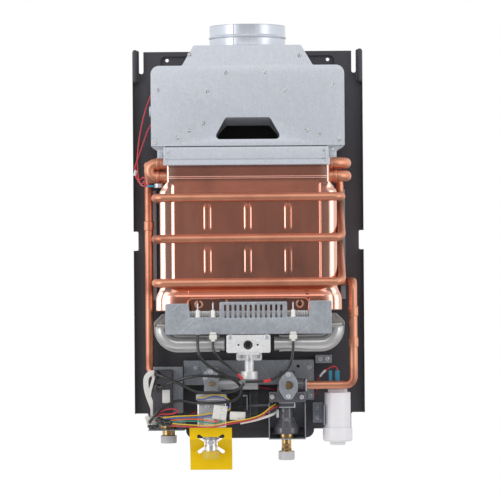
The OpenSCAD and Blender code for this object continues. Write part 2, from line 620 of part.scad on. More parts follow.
module connection_brackets() color("silver") {
  difference() {
    union() {
      block(water_x - 25.6, water_x + 27.9, plate_front, plate_front + 1.2, -545, -504);
      block(water_x - 25.6, water_x - 24.4, plate_front, water_depth + 20, -556.7, -504);
      block(water_x + 26.7, water_x + 27.9, plate_front, water_depth + 20, -556.7, -504);
      block(water_x - 25.6, water_x + 27.9, plate_front, water_depth + 22, -556.7, -555.5);
    }
    rod_z(water_x, water_depth, -560, -550, 7.2);
    rod_x(water_x - 27, water_x - 23, rod_depth, -508, rod_d / 2 + 0.4);
  }
  difference() {
    union() {
      block(outlet_x - 28.5, outlet_x + 24.5, plate_front, outlet_depth + 37, -544, -542.8);
      block(outlet_x - 28.5, outlet_x + 24.5, plate_front, plate_front + 1.2, -543, -526);
    }
    rod_z(outlet_x, outlet_depth, -546, -540, 9.3);
  }
}
module inlet_fitting() color("darkgoldenrod") difference() {
  union() {
    translate([water_x, -water_depth, 0]) rotate_extrude($fn = 48)
      polygon([[5, -586], [thread_r, -586], [thread_r, -574.5], [7, -574.5], [7, -555.5], [12, -555.5],
        [12, -549.5], [6.8, -549.5], [6.8, -540], [5, -540]]);
    difference() {
      rod_y(water_x, -568, water_depth, water_depth + 12, 5.5);
      rod_z(water_x, water_depth, -575, -560, 5);
    }
  }
  rod_y(water_x, -568, water_depth + 7, water_depth + 13, 2 + spindle_gap);
}
module drain_screw() color("gold") difference() {
  union() {
    rod_y(water_x, -568, water_depth + 12.3, water_depth + 15.8, 4.5);
    rod_y(water_x, -568, water_depth + 8, water_depth + 13, 2);
  }
  block(water_x - 6, water_x + 6, water_depth + 14.8, water_depth + 17, -568.5, -567.5);
}
// Dust cap over a pipe end, its rim at the given height
module dust_cap(x, depth, rim, floor_z, extra = 0) {
  translate([x, -depth, 0]) rotate_extrude($fn = 48)
    polygon([[0, floor_z - 1.2], [cap_r + extra - 0.8, floor_z - 1.2], [cap_r + extra, floor_z - 0.4],
      [cap_r + extra, rim], [cap_bore, rim], [cap_bore, floor_z], [0, floor_z]]);
}
module inlet_cap() color("lightgray") dust_cap(water_x, water_depth, -575.2, -586.3);
module outlet_fitting() color("darkgoldenrod")
  translate([outlet_x, -outlet_depth, 0]) rotate_extrude($fn = 48)
    polygon([[pipe_d / 2 - 1, -563], [thread_r, -563], [thread_r, -553], [9.2, -552], [9.2, -542.8], [12, -542.8],
      [12, -536], [9, -535], [9, -526], [pipe_d / 2, -526], [pipe_d / 2, -534], [pipe_d / 2 - 1, -534]]);
module outlet_cap() color("lightgray") dust_cap(outlet_x, outlet_depth, -553.4, -563.3);
module gas_inlet() color("silver") difference() {
  union() {
    translate([gas_x, -gas_depth, 0]) rotate_extrude($fn = 48)
      polygon([[6, -584], [thread_r, -584], [thread_r, -573.2], [9.3, -572.6], [9.3, -566.5], [8.3, -566], [8.3, -562],
        [9.5, -561.5], [9.5, -557], [6, -557]]);
    difference() {
      rod_y(gas_x, -561.5, gas_depth, gas_depth + 13, 4.6);
      rod_z(gas_x, gas_depth, -570, -550, 6);
    }
  }
}
module gas_cap() color("khaki") dust_cap(gas_x, gas_depth, -573.6, -584.3, 0.6);
module gas_tag() color("gold") intersection() {
  translate([gas_x - 40, -gas_depth, 0]) rotate([90, 0, 90]) linear_extrude(80)
    polygon([[-22, -539], [-18, -556], [18, -575], [24, -603.6], [24 + tag_t, -603.6],
      [18 + 0.88 * tag_t, -575 + 0.67 * tag_t], [-18 + 0.87 * tag_t, -556 + 0.67 * tag_t], [-22 + tag_t, -539]]);
  sheet(gas_depth - 50, gas_depth + 50) difference() {
    translate([gas_x - 30.7, -610]) square([61.4, 80]);
    polygon(panel(gas_x - 9.8, gas_x + 9.8, -577, -552.5, 2));
    for (s = [-1, 1]) for (t = [0, 180]) translate([gas_x, -564]) rotate(s * 36 + t)
      polygon(panel(0, 24, -2.7, 2.7, 2.5, 3));
  }
}

// Battery case
module battery_case() color("gainsboro") translate([battery_x, -battery_depth, 0]) {
  rotate_extrude($fn = 64) polygon([[0, case_top], [case_r - 1, case_top], [case_r, case_top - 1],
    [case_r, case_rim], [cell_bore, case_rim], [cell_bore, case_top - 1.5], [0, case_top - 1.5]]);
  translate([-14, -8, case_top - 0.5]) cube([28, 16, 5.1]);
}
module battery_bracket() color("silver") {
  block(battery_x - case_r - 16, battery_x - case_r - 0.2, plate_front, plate_front + 1.2, -538, -508);
  block(battery_x - case_r - 1.4, battery_x - case_r - 0.2, plate_front, battery_depth + 16, -538, -508);
}
module battery_cell() color("steelblue") {
  rod_z(battery_x, battery_depth, cell_top - cell_h, cell_top - 1, cell_d / 2);
  rod_z(battery_x, battery_depth, cell_top - 1.2, cell_top, 4.5);
}
module battery_contact() color("silver") translate([battery_x, -battery_depth, case_rim]) rotate_extrude($fn = 48)
  polygon([[0, -7.8], [cell_bore - 2.6, -7.8], [cell_bore - 2.6, -7.1], [9, -7.1], [6, -1.6], [5, -1.6],
    [8, -7.1], [0, -7.1]]);
module battery_lid() color("gainsboro") translate([battery_x, -battery_depth, case_rim])
  rotate_extrude($fn = 64) polygon([[0, -14.8], [10.8, -14.8], [11.3, -14.3], [11.3, -9.5], [lid_bore - 0.4, -9.5],
    [lid_bore + 1.9, -7], [lid_bore + 1.9, 10.7], [lid_bore, 10.7], [lid_bore, -8.1], [0, -8.1]]);
module igniter_box() color("dimgray") {
  sheet(50, 84) polygon(panel(-141, -112, -522, -456, 2));
  rod_y(-134, -461, 84, 88, 4);
  rod_y(-133, -480, 84, 88, 4);
}
module electrodes() color("white") for (x = electrode_at) {
  rod_z(x, electrode_depth, -403, -352.5, electrode_r);
  rod_z(x, electrode_depth, -353, -348, 0.8);
}
module thermostats() color("lightgray") {
  translate([0, 0, row_low - fin_tube_d / 2 - sleeve_wall - 0.3]) rod_z(-129.5, low_row[2], -6, 0, 6.5);
  rod_x(-hood_w / 2 - 5, -hood_w / 2 - 0.1, 50, -78, 8);
}

// Plugs, white sleeves and the white retaining tape
module plugs() color("white") {
  block(-53, -33, 104, 114, -526, -505);
  block(-29, -6.5, 104, 114, -527, -515);
  block(-151, -134, 74, 86, -538.7, -522.3);
  for (x = [-52, 63]) block(x - 5, x + 5, guard_face, guard_face + 8, -410, -392);
  block(38.2, 42.2, 64, 78, -526, -514);
  wire(curve([pt(-14, 114, -531), pt(7, 112, -527), pt(29, 104, -521), pt(36.5, 84, -518.5)]), 4, 8);
  skin(rings(curve([pt(-144, 88, -455), pt(-150, 84, -460), pt(-154, 82, -470), pt(-154, 80, -485),
    pt(-150, 78, -503), pt(-147, 78, -515), pt(-146.5, 79, -521.9)]), 0.5, 2.6, 8));
  wire([pt(-166, 52, -172), pt(-164, 52, -164)], 5, 8);
}
module leads_black() color("black") {
  wire(curve([pt(-74, electrode_depth, -403.2), pt(-74, electrode_depth, -405.5), pt(-74, 133, -420),
    pt(-71, 136, -434), pt(-62.5, 134, -444), pt(-45.7, 130, -456), pt(-23, 125, -468), pt(-12.8, 119, -478.5),
    pt(-13, 117, -489), pt(-20, 118, -496), pt(-31.5, 118, -500.3), pt(-58, 112, -502), pt(-75, 106, -502),
    pt(-104, 98, -499.5), pt(-127.6, 97, -510), pt(-137, 97, -520), pt(-144, 93, -528),
    pt(-145.5, 89, -530.5), pt(-145.5, 86.3, -530.5)]), lead_d);
  wire(curve([pt(-52, 136, -410.2), pt(-52, 137, -420), pt(-50, 140, -428), pt(-42, 140, -438.5),
    pt(-28.5, 138, -449), pt(-18, 134, -458), pt(-10.5, 130, -466.7)]), lead_d);
  wire(curve([pt(63, 136, -410.2), pt(62, 137, -429.5), pt(59, 138, -443.5), pt(50.6, 137, -456.5),
    pt(38, 136, -465), pt(27.7, 134, -469), pt(13.7, 132, -470.5), pt(-6, 130, -471)]), lead_d);
  wire(curve([pt(-134, 96, -461), pt(-130, 101, -462), pt(-118, 106, -467), pt(-103.5, 110, -473),
    pt(-80, 116, -484), pt(-57, 120, -487), pt(-29, 123, -485.5), pt(-14, 126, -480), pt(-8, 128, -473)]), lead_d);
  wire(curve([pt(-133, 96, -480), pt(-128, 99, -479), pt(-121, 100, -475.5), pt(-109, 104, -471.5),
    pt(-91.7, 112, -465.5), pt(-71.5, 118, -462.5), pt(-46, 122, -463.5), pt(-23, 126, -466),
    pt(-14, 128, -469)]), lead_d);
  rod_y(-134, -461, 88, 96, 5);
  rod_y(-133, -480, 88, 96, 5);
}
module wires_red() color("crimson") {
  wire(curve([pt(-133.8, 82, -534), pt(-131, 82, -534), pt(-109, 98, -535.5), pt(-69.5, 108.5, -537),
    pt(-48, 114.5, -535.8), pt(-30, 117.5, -532), pt(0, 116.5, -527), pt(17, 114.5, -521),
    pt(30, 106, -512), pt(39.8, 92, -508.5), pt(39.8, 88.3, -508.5)]), wire_d);
  wire(curve([pt(-141, 86.3, -523.6), pt(-141, 89, -523.6), pt(-128, 94, -514), pt(-112, 95, -511),
    pt(-104, 95, -514.5), pt(-112, 96, -518), pt(-130, 94, -519), pt(-138.4, 89, -523.6),
    pt(-138.4, 86.3, -523.6)]), wire_d);
  wire(curve([pt(-142, 36, -53), pt(-150, 40, -75), pt(-158, 45, -110), pt(-162, 50, -145),
    pt(-161, 56, -168), pt(-157, 76, -184), pt(-151, 92.5, -188.3), pt(-147.3, 92.5, -188.3)]), wire_d);
  wire(curve([pt(battery_x, 62, -458.1), pt(battery_x - 0.5, 62, -455), pt(122, 64, -452.5), pt(108, 60, -461),
    pt(100, 48, -474), pt(98, 30, -492), pt(86, 14, -498), pt(24, 12, -486), pt(-6, 12, -485),
    pt(-40, 14, -494), pt(-80, 20, -520), pt(-108, 48, -531), pt(-120, 64, -531), pt(-122, 67, -526),
    pt(-122, 67, -522.3)]), wire_d);
}
module wires_yellow() color("gold") {
  wire(curve([pt(-135.8, 86.3, -525), pt(-135.8, 88.8, -525), pt(-104, 100, -521.5), pt(-75, 106, -520),
    pt(-56, 110, -517), pt(-53.3, 110, -517)]), wire_d);
  wire(curve([pt(-133.8, 80, -531), pt(-131, 80, -531), pt(-109, 98, -532.4), pt(-69.5, 110, -534.3),
    pt(-48, 116, -533), pt(-30, 118, -529.3), pt(0, 118, -524.4), pt(17, 116, -518.4),
    pt(29, 108, -509.5), pt(37, 92, -505.7), pt(37, 88.3, -505.7)]), wire_d);
  wire(curve([pt(-76, 100, -495), pt(-66, 106, -494.5), pt(-54.5, 110, -490), pt(-40, 112, -491.5),
    pt(-29.5, 111.5, -498.5), pt(-28.6, 110.5, -509.5), pt(-30.3, 110, -512.3), pt(-32.7, 110, -512.4)]), wire_d);
}
module wires_blue() color("steelblue") {
  wire(curve([pt(-137.5, 86.3, -527.4), pt(-137.5, 89, -527.4), pt(-104, 99.5, -524), pt(-75, 105, -522.8),
    pt(-56, 108, -520), pt(-53.3, 108, -520)]), wire_d);
  wire(curve([pt(-76, 102, -497.5), pt(-66, 108, -497), pt(-54.5, 111, -493), pt(-40, 113.3, -494.2),
    pt(-30.5, 114.2, -500.7), pt(-28.6, 113.6, -506.6), pt(-30.5, 112.6, -509.2), pt(-32.7, 112.5, -509.3)]), wire_d);
  for (q = [[-12.5, -7.5, 2.5], [-3.2, 3.2, 3.2]])
    block(battery_x + q[0], battery_x + q[1], battery_depth - q[2], battery_depth + q[2], case_top + 4.6, -458.3);
  block(-147, -136.2, 91, 94, -189.8, -186.8);
  block(-147, -136.2, 96, 99, -189.8, -186.8);
}
module wires_green() color("seagreen")
  wire(curve([pt(-135.3, 86.3, -532.7), pt(-135.3, 88.8, -532.7), pt(-104, 99.5, -529), pt(-75, 105.5, -528.6),
    pt(-56, 110, -531.2), pt(-46, 110.5, -532), pt(-41.5, 111, -529.5), pt(-41.5, 111, -526.4)]), wire_d);
module wires_orange() color("orangered")
  wire(curve([pt(-136.5, 86.3, -530), pt(-136.5, 88.8, -530), pt(-104, 99.5, -526.5), pt(-75, 105.5, -525.6),
    pt(-57, 110.5, -528.2), pt(-51, 111, -529.3), pt(-47, 111, -528.6), pt(-47, 111, -526.4)]), wire_d);
module screws() color("lightsteelblue") {
  for (p = [[-79.3, -454.9, 32.4], [88, -454.7, 31.2], [88.8, -497.5, 31.2], [104, -443, 30], [114, -443, 30],
      [tap_x - 2, -458, 101.2], [tap_x - 10, -466, 101.2], [gas_x - 4, -507, cover_face],
      [water_x - 20.4, -494.8, water_depth + 26], [water_x + 22, -495.2, water_depth + 26],
      [water_x + 2.7, -462, water_depth + 47.2], [water_x + 2.7, -493, water_depth + 47.2],
      [-14, -435.5, 110], [13, -435.5, 110], [-28, -409.5, 130], [26, -409.5, 130],
      [battery_x - case_r - 9, -516, plate_front + 1.2], [battery_x - case_r - 9, -530, plate_front + 1.2],
      [outlet_x - 18.5, -534, plate_front + 1.2], [outlet_x + 17.5, -534, plate_front + 1.2]])
    screw_head(p[0], p[1], p[2], 3);
  screw_head(gas_x, -561.5, gas_depth + 13, 3.8, 2.5);
}

back_plate();
support_brackets();
hood_box();
hood_front();
hood_baffle();
hood_skirt();
flue_collar();
fin_pack();
fin_tubes();
tube_bends();
copper_shell();
water_coil();
hot_pipe();
cold_pipe();
burner_tray();
burner_bars();
mixing_tubes();
guard_plate();
manifold();
injectors();
injector_cover();
valve_bracket();
gas_valve_body();
gas_spindle();
gas_spindle_plate();
solenoid_cover();
microswitch();
switch_bracket();
switch_lever();
push_rod();
water_valve_body();
water_valve_plate();
water_spindle();
retaining_clip();
flow_sensor();
connection_brackets();
inlet_fitting();
drain_screw();
inlet_cap();
outlet_fitting();
outlet_cap();
gas_inlet();
gas_cap();
gas_tag();
battery_case();
battery_bracket();
battery_cell();
battery_contact();
battery_lid();
igniter_box();
electrodes();
thermostats();
plugs();
leads_black();
wires_red();
wires_yellow();
wires_blue();
wires_green();
wires_orange();
screws();
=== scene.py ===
"""A tankless gas water heater with its cover removed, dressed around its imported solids.

Lengths in the forms are millimetres: x to the right, d in front of the wall, z up.
"""

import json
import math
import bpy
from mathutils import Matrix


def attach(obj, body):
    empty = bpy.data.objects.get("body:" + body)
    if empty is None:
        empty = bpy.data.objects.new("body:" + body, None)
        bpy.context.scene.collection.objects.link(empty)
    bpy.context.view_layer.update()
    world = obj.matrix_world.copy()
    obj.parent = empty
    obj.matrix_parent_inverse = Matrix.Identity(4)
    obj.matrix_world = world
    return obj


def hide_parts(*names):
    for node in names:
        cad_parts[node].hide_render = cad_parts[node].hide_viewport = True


bl_info = {
    "name": "Tankless water heater",
    "version": (1, 0, 0),
    "blender": (4, 5, 0),
    "location": "View3D > Sidebar > Water heater",
    "description": "Builds the visible pieces of a wall-hung gas water heater around its solids",
    "category": "Object",
}

import bmesh
import bpy
import numpy as np
from mathutils import Vector
from mathutils.geometry import tessellate_polygon

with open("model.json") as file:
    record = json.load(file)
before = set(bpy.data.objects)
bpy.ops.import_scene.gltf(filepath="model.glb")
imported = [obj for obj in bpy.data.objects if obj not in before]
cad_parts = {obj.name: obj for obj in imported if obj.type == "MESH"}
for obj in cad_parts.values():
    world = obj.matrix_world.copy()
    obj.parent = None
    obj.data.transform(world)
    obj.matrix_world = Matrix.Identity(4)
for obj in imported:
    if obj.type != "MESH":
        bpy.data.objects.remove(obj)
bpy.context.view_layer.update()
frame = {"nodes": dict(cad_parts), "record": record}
MM = 0.001
SHEET = 0.8
BODY_OF = {node: body for body, nodes in frame["record"]["behaviour"]["bodies"].items() for node in nodes}
SLOT_OF = {part["node"]: part["material_slot"] for part in frame["record"]["subparts"]}


# Forms: every form is (points, faces), the points an (n, 3) array in millimetres


def spot(x, d, z):
    """Points from distances to the right, in front of the wall and up."""
    x, d, z = (np.asarray(value, float) for value in (x, d, z))
    return np.stack(np.broadcast_arrays(x, -d, z), -1)


def lattice(grid, along=False, caps=False):
    """Surface over a grid of points P(i, j): each face joins P(i, j), P(i, j+1), P(i+1, j+1), P(i+1, j).

    Every row closes on itself in j; along closes i as well, caps shuts the first and the last row."""
    rows, columns = grid.shape[:2]
    i, j = np.meshgrid(np.arange(rows if along else rows - 1), np.arange(columns), indexing="ij")
    i2, j2 = (i + 1) % rows, (j + 1) % columns
    corners = [i * columns + j, i * columns + j2, i2 * columns + j2, i2 * columns + j]
    faces = np.stack(corners, -1).reshape(-1, 4).tolist()
    if caps:
        faces += [list(range(columns))[::-1], list(range((rows - 1) * columns, rows * columns))]
    return grid.reshape(-1, 3), faces


def together(*forms):
    """Several forms as one."""
    points, faces, start = [], [], 0
    for form in forms:
        points.append(form[0])
        faces += [[v + start for v in face] for face in form[1]]
        start += len(form[0])
    return np.concatenate(points), faces


def mirrored(form):
    """The form seen in a mirror across the middle plane."""
    return form[0] * np.array([-1, 1, 1]), form[1]


def corner_arc(p, before, after, r):
    """Arc of radius r in the corner p: half the corner's angle, the arc's centre, and its ends seen from there."""
    u, v = (before - p) / np.linalg.norm(before - p), (after - p) / np.linalg.norm(after - p)
    half = math.acos(max(-1, min(1, u @ v))) / 2
    centre = p + (u + v) / np.linalg.norm(u + v) * r / math.sin(half)
    return half, centre, p + u * r / math.tan(half) - centre, p + v * r / math.tan(half) - centre


def rounded(corners, steps=4):
    """Closed outline whose corners (a, b, r) are arcs of radius r, tangent to both edges."""
    out, count = [], len(corners)
    for k in range(count):
        p, a, b = (np.array(corners[m % count][:2], float) for m in (k, k - 1, k + 1))
        r = corners[k][2]
        if not r:
            out.append(p[None])
            continue
        _, centre, start, end = corner_arc(p, a, b, r)
        a0, a1 = math.atan2(start[1], start[0]), math.atan2(end[1], end[0])
        sweep = (a1 - a0 + 3 * math.pi) % (2 * math.pi) - math.pi
        t = a0 + sweep * np.linspace(0, 1, steps + 1)
        out.append(centre + r * np.stack([np.cos(t), np.sin(t)], -1))
    return np.concatenate(out)


def panel(x0, x1, z0, z1, r):
    """Rounded rectangle given by its four limits."""
    return rounded([(x0, z0, r), (x1, z0, r), (x1, z1, r), (x0, z1, r)])


def disc(x, z, r, steps=32):
    """Circle (x + r cos t, z + r sin t)."""
    t = np.arange(steps) * 2 * math.pi / steps
    return np.stack([x + r * np.cos(t), z + r * np.sin(t)], -1)


def facing(outline, clockwise=False):
    """The outline run anticlockwise, or clockwise for a hole."""
    x, z = outline.T
    area = (x * np.roll(z, -1) - z * np.roll(x, -1)).sum()
    return outline[::-1] if (area > 0) == clockwise else outline


def inset(outline, by):
    """Each corner moved inwards along the mitre (n1 + n2) / (1 + n1.n2) of its two edge normals."""
    edge = np.roll(outline, -1, 0) - outline
    edge /= np.linalg.norm(edge, axis=1)[:, None] + 1e-12
    normal = np.stack([-edge[:, 1], edge[:, 0]], -1)
    before = np.roll(normal, 1, 0)
    return outline + by * (normal + before) / np.maximum(1 + (normal * before).sum(1), 0.2)[:, None]


# Where a flat outline (a, b) at height h lies: FRONT stands it up facing the front, ABOVE lays it down
FRONT = lambda a, b, h: spot(a, h, b)
ABOVE = lambda a, b, h: spot(a, b, h)


def plate(outer, h0, h1, holes=(), roll=0.3, place=FRONT):
    """Sheet between heights h0 and h1 over a flat outline, its edges rolled by a quarter circle.

    Row t of the edge is inset by roll (1 - sin t) and dropped by roll (1 - cos t)."""
    loops = [facing(np.asarray(outer, float))] + [facing(np.asarray(h, float), True) for h in holes]
    roll = min(roll, (h1 - h0) / 2 - 1e-4)
    t = np.radians([0, 45, 90])
    inwards = np.concatenate([roll * (1 - np.sin(t)), roll * (1 - np.sin(t[::-1]))])
    height = np.concatenate([h1 - roll * (1 - np.cos(t)), h0 + roll * (1 - np.cos(t[::-1]))])
    forms, caps = [], []
    for loop in loops:
        rows = np.stack([place(*inset(loop, a).T, h) for a, h in zip(inwards, height)])
        forms.append(lattice(rows))
    for row, flip in ((0, False), (-1, True)):
        flat = [inset(loop, inwards[row]) for loop in loops]
        triangles = tessellate_polygon([[Vector((*p, 0)) for p in loop] for loop in flat])
        faces = [list(three[::-1] if flip else three) for three in triangles]
        caps.append((place(*np.concatenate(flat).T, height[row]), faces))
    return together(*forms, *caps)


def block(x0, x1, d0, d1, z0, z1, r=0.6, steps=2):
    """Rounded box: c + r n(u, v) + (half - r) sign n(u, v), with n the unit sphere."""
    r = min(r, (x1 - x0) / 2.001, (d1 - d0) / 2.001, (z1 - z0) / 2.001)
    centre = spot((x0 + x1) / 2, (d0 + d1) / 2, (z0 + z1) / 2)
    half = np.array([x1 - x0, d1 - d0, z1 - z0]) / 2 - r
    quarter = np.linspace(0, math.pi / 2, steps + 1)
    u = np.concatenate([quarter + k * math.pi / 2 for k in range(4)])
    v = np.concatenate([quarter - math.pi / 2, quarter])[:, None]
    n = np.stack([np.cos(v) * np.cos(u), np.cos(v) * np.sin(u), np.sin(v) + 0 * u], -1)
    right, ahead, up = (np.repeat(signs, steps + 1) for signs in ([1, -1, -1, 1], [1, 1, -1, -1], [-1, 1]))
    sign = np.stack(np.broadcast_arrays(right[None], ahead[None], up[:, None]), -1)
    return lattice(centre + r * n + half * sign, caps=True)


def arc_profile(points, r, closed):
    """Profile (radius, height) with every inner corner rounded by r, less where an edge is short.

    The corner p between a start and an end is the curve (1 - t)^2 start + 2 t (1 - t) p + t^2 end."""
    pts = [np.array(p[:2], float) for p in points]
    out, count = [], len(pts)
    for k in range(count):
        if not closed and k in (0, count - 1):
            out.append(pts[k][None])
            continue
        p, a, b = pts[k], pts[k - 1], pts[(k + 1) % count]
        la, lb = np.linalg.norm(a - p), np.linalg.norm(b - p)
        u, v = (a - p) / la, (b - p) / lb
        half = math.acos(max(-1, min(1, u @ v))) / 2
        if half > math.pi / 2 - 0.05:
            out.append(p[None])
            continue
        reach = min(r / math.tan(half), la * 0.45, lb * 0.45)
        t = np.linspace(0, 1, 4)[:, None]
        start, end = p + u * reach, p + v * reach
        out.append((1 - t) ** 2 * start + 2 * t * (1 - t) * p + t ** 2 * end)
    return np.concatenate(out)


def turned(profile, x, d, z=0.0, axis="z", steps=48, closed=False, r=0.4, wave=None):
    """Profile (radius, height) turned round an upright, sideways or forward axis through (x, d, z).

    wave(angle, height) is added to the radius."""
    rh = arc_profile(profile, r, closed) if r else np.array(profile, float)
    t = np.arange(steps) * 2 * math.pi / steps
    radius, height = rh[:, :1] + 0 * t, rh[:, 1:2] + 0 * t
    if wave:
        radius = radius + wave(t[None], height) * (radius > 0.01)
    a, b = radius * np.cos(t), radius * np.sin(t)
    if axis == "z":
        grid = spot(x + a, d + b, z + height)
    elif axis == "x":
        grid = spot(x + height, d + a, z + b)
    else:
        grid = spot(x + a, d + height, z + b)
    return lattice(grid, along=closed)


def rod(x, d, z, length, r, axis="z", bevel=0.4, steps=32):
    """Solid bar with softened ends, from its first end along the axis."""
    return turned([(0, 0), (r, 0), (r, length), (0, length)], x, d, z, axis, steps, r=bevel)


def curve(points, per):
    """Smooth path through the points: a cubic whose slope at a point is (next - previous) over both distances."""
    p = np.asarray(points, float)
    gap = np.linalg.norm(np.diff(p, axis=0), axis=1)
    slope = (p[2:] - p[:-2]) / (gap[1:] + gap[:-1])[:, None]
    slope = np.concatenate([(p[1:2] - p[:1]) / gap[0], slope, (p[-1:] - p[-2:-1]) / gap[-1]])
    t = (np.arange(per) / per)[None, :, None]
    u, b, c = 1 - t, p[:-1, None], p[1:, None]
    start, end = slope[:-1, None] * gap[:, None, None], slope[1:, None] * gap[:, None, None]
    body = u * u * (1 + 2 * t) * b + t * t * (3 - 2 * t) * c + u * u * t * start - t * t * u * end
    return np.concatenate([body.reshape(-1, 3), p[-1:]])


def bent(points, r, steps):
    """Straight runs joined by arcs of radius r."""
    p = np.asarray(points, float)
    out = [p[:1]]
    for k in range(1, len(p) - 1):
        half, centre, start, end = corner_arc(p[k], p[k - 1], p[k + 1], r)
        sweep = math.pi - 2 * half
        t = np.linspace(0, 1, steps + 1)[:, None]
        out.append(centre + (start * np.sin(sweep * (1 - t)) + end * np.sin(sweep * t)) / math.sin(sweep))
    return np.concatenate(out + [p[-1:]])


def frames(path):
    """Unit tangents of a path and two directions square to them, carried along without twist."""
    step = np.diff(path, axis=0)
    step /= np.linalg.norm(step, axis=1)[:, None]
    tangent = np.concatenate([step[:1], step[:-1] + step[1:], step[-1:]])
    tangent /= np.linalg.norm(tangent, axis=1)[:, None]
    side = np.empty_like(tangent)
    u = np.cross([0, 0, 1], tangent[0]) if abs(tangent[0, 2]) < 0.9 else np.cross([1, 0, 0], tangent[0])
    for k, w in enumerate(tangent):
        u = u - (u @ w) * w
        u /= np.linalg.norm(u)
        side[k] = u
    return tangent, side, np.cross(tangent, side)


def distances(path):
    """Distance of each point of a path from its start, measured along it."""
    return np.concatenate([[0], np.cumsum(np.linalg.norm(np.diff(path, axis=0), axis=1))])


def resampled(path, s, at):
    """Points of a path at other distances, given the distances s of its own points."""
    return np.stack([np.interp(at, s, path[:, k]) for k in range(3)], -1)


def tube(path, radius, steps=16, wall=0.0):
    """Circle carried along a path: P(i, t) = path(i) + r(i) (cos t side(i) + sin t up(i)).

    With a wall the end is open and the bore shows."""
    path = np.asarray(path, float)
    _, side, up = frames(path)
    t = (np.arange(steps) * 2 * math.pi / steps)[None, :, None]
    ring = np.cos(t) * side[:, None] + np.sin(t) * up[:, None]
    radius = np.broadcast_to(radius, len(path))[:, None, None]
    grid = path[:, None] + radius * ring
    if not wall:
        return lattice(grid, caps=True)
    inner = path[:, None] + (radius - wall) * ring
    return lattice(np.concatenate([grid, inner[::-1]]), along=True)


def mitres(line):
    """Mitre (n1 + n2) / (1 + n1.n2) of the two normals that meet at each point of an open flat line."""
    step = np.diff(line, axis=0)
    step /= np.linalg.norm(step, axis=1)[:, None]
    normal = np.stack([-step[:, 1], step[:, 0]], -1)
    first, last = np.concatenate([normal[:1], normal]), np.concatenate([normal, normal[-1:]])
    return (first + last) / (1 + (first * last).sum(1))[:, None]


def ribbon(line, thickness):
    """Closed outline of a folded sheet: the line offset by half the thickness to both sides."""
    mitre = mitres(line)
    return np.concatenate([line + mitre * thickness / 2, (line - mitre * thickness / 2)[::-1]])


def welded(node):
    """Points and faces of a solid as packed, its doubles merged and its flat faces joined."""
    mesh = bmesh.new()
    mesh.from_mesh(frame["nodes"][node].data)
    bmesh.ops.remove_doubles(mesh, verts=mesh.verts, dist=2e-5)
    bmesh.ops.dissolve_limit(mesh, angle_limit=math.radians(1.0), verts=mesh.verts, edges=mesh.edges)
    mesh.verts.index_update()
    points = np.array([v.co[:] for v in mesh.verts]) / MM
    faces = [[v.index for v in face.verts] for face in mesh.faces]
    mesh.free()
    return points, faces


def piece(name, form, finish, node, whole=False, smooth=35, bevel=0.0):
    """Puts a form into the scene as one piece that rides on its node's body; a whole piece stands for that node."""
    mesh = bpy.data.meshes.new(name)
    mesh.from_pydata((form[0] * MM).tolist(), [], form[1])
    work = bmesh.new()
    work.from_mesh(mesh)
    bmesh.ops.remove_doubles(work, verts=work.verts, dist=2e-6)
    bmesh.ops.dissolve_degenerate(work, edges=work.edges, dist=1e-7)
    bmesh.ops.recalc_face_normals(work, faces=work.faces)
    work.to_mesh(mesh)
    work.free()
    mesh.validate()
    mesh.shade_smooth()
    mesh.set_sharp_from_angle(angle=math.radians(smooth))
    mesh.materials.append(finish_of(finish))
    thing = bpy.data.objects.new(name, mesh)
    bpy.context.scene.collection.objects.link(thing)
    if bevel:
        edge = thing.modifiers.new("edge", "BEVEL")
        edge.width, edge.segments = bevel * MM, 2
        edge.limit_method, edge.angle_limit = "ANGLE", math.radians(40)
        edge.harden_normals, edge.use_clamp_overlap = False, True
        even = thing.modifiers.new("even", "WEIGHTED_NORMAL")
        even.keep_sharp = True
    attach(thing, BODY_OF[node])
    if whole:
        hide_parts(node)
    return thing


# Materials


class Flow:
    """A number or colour on its way between shader nodes; arithmetic on it adds Math nodes."""

    def __init__(self, paint, socket):
        self.paint, self.socket = paint, socket

    def _math(self, operation, *values):
        return self.paint.node("ShaderNodeMath", {"operation": operation}, dict(enumerate(values))).out()

    def __add__(self, other):
        return self._math("ADD", self, other)

    def __sub__(self, other):
        return self._math("SUBTRACT", self, other)

    def __mul__(self, other):
        return self._math("MULTIPLY", self, other)

    def __truediv__(self, other):
        return self._math("DIVIDE", self, other)

    def __pow__(self, other):
        return self._math("POWER", self, other)

    def __neg__(self):
        return self._math("MULTIPLY", self, -1.0)

    def __radd__(self, other):
        return self._math("ADD", other, self)

    def __rsub__(self, other):
        return self._math("SUBTRACT", other, self)

    def least(self, other):
        return self._math("MINIMUM", self, other)

    def most(self, other):
        return self._math("MAXIMUM", self, other)

    def between(self, low, high):
        """0 at low, 1 at high, held at both ends."""
        return self.paint.node("ShaderNodeMapRange", {"interpolation_type": "SMOOTHSTEP"},
                               {"Value": self, "From Min": low, "From Max": high}).out()


class Step:
    """A shader node that is already in place."""

    def __init__(self, paint, node):
        self.paint, self.node = paint, node

    def out(self, name=0):
        return Flow(self.paint, self.node.outputs[name])


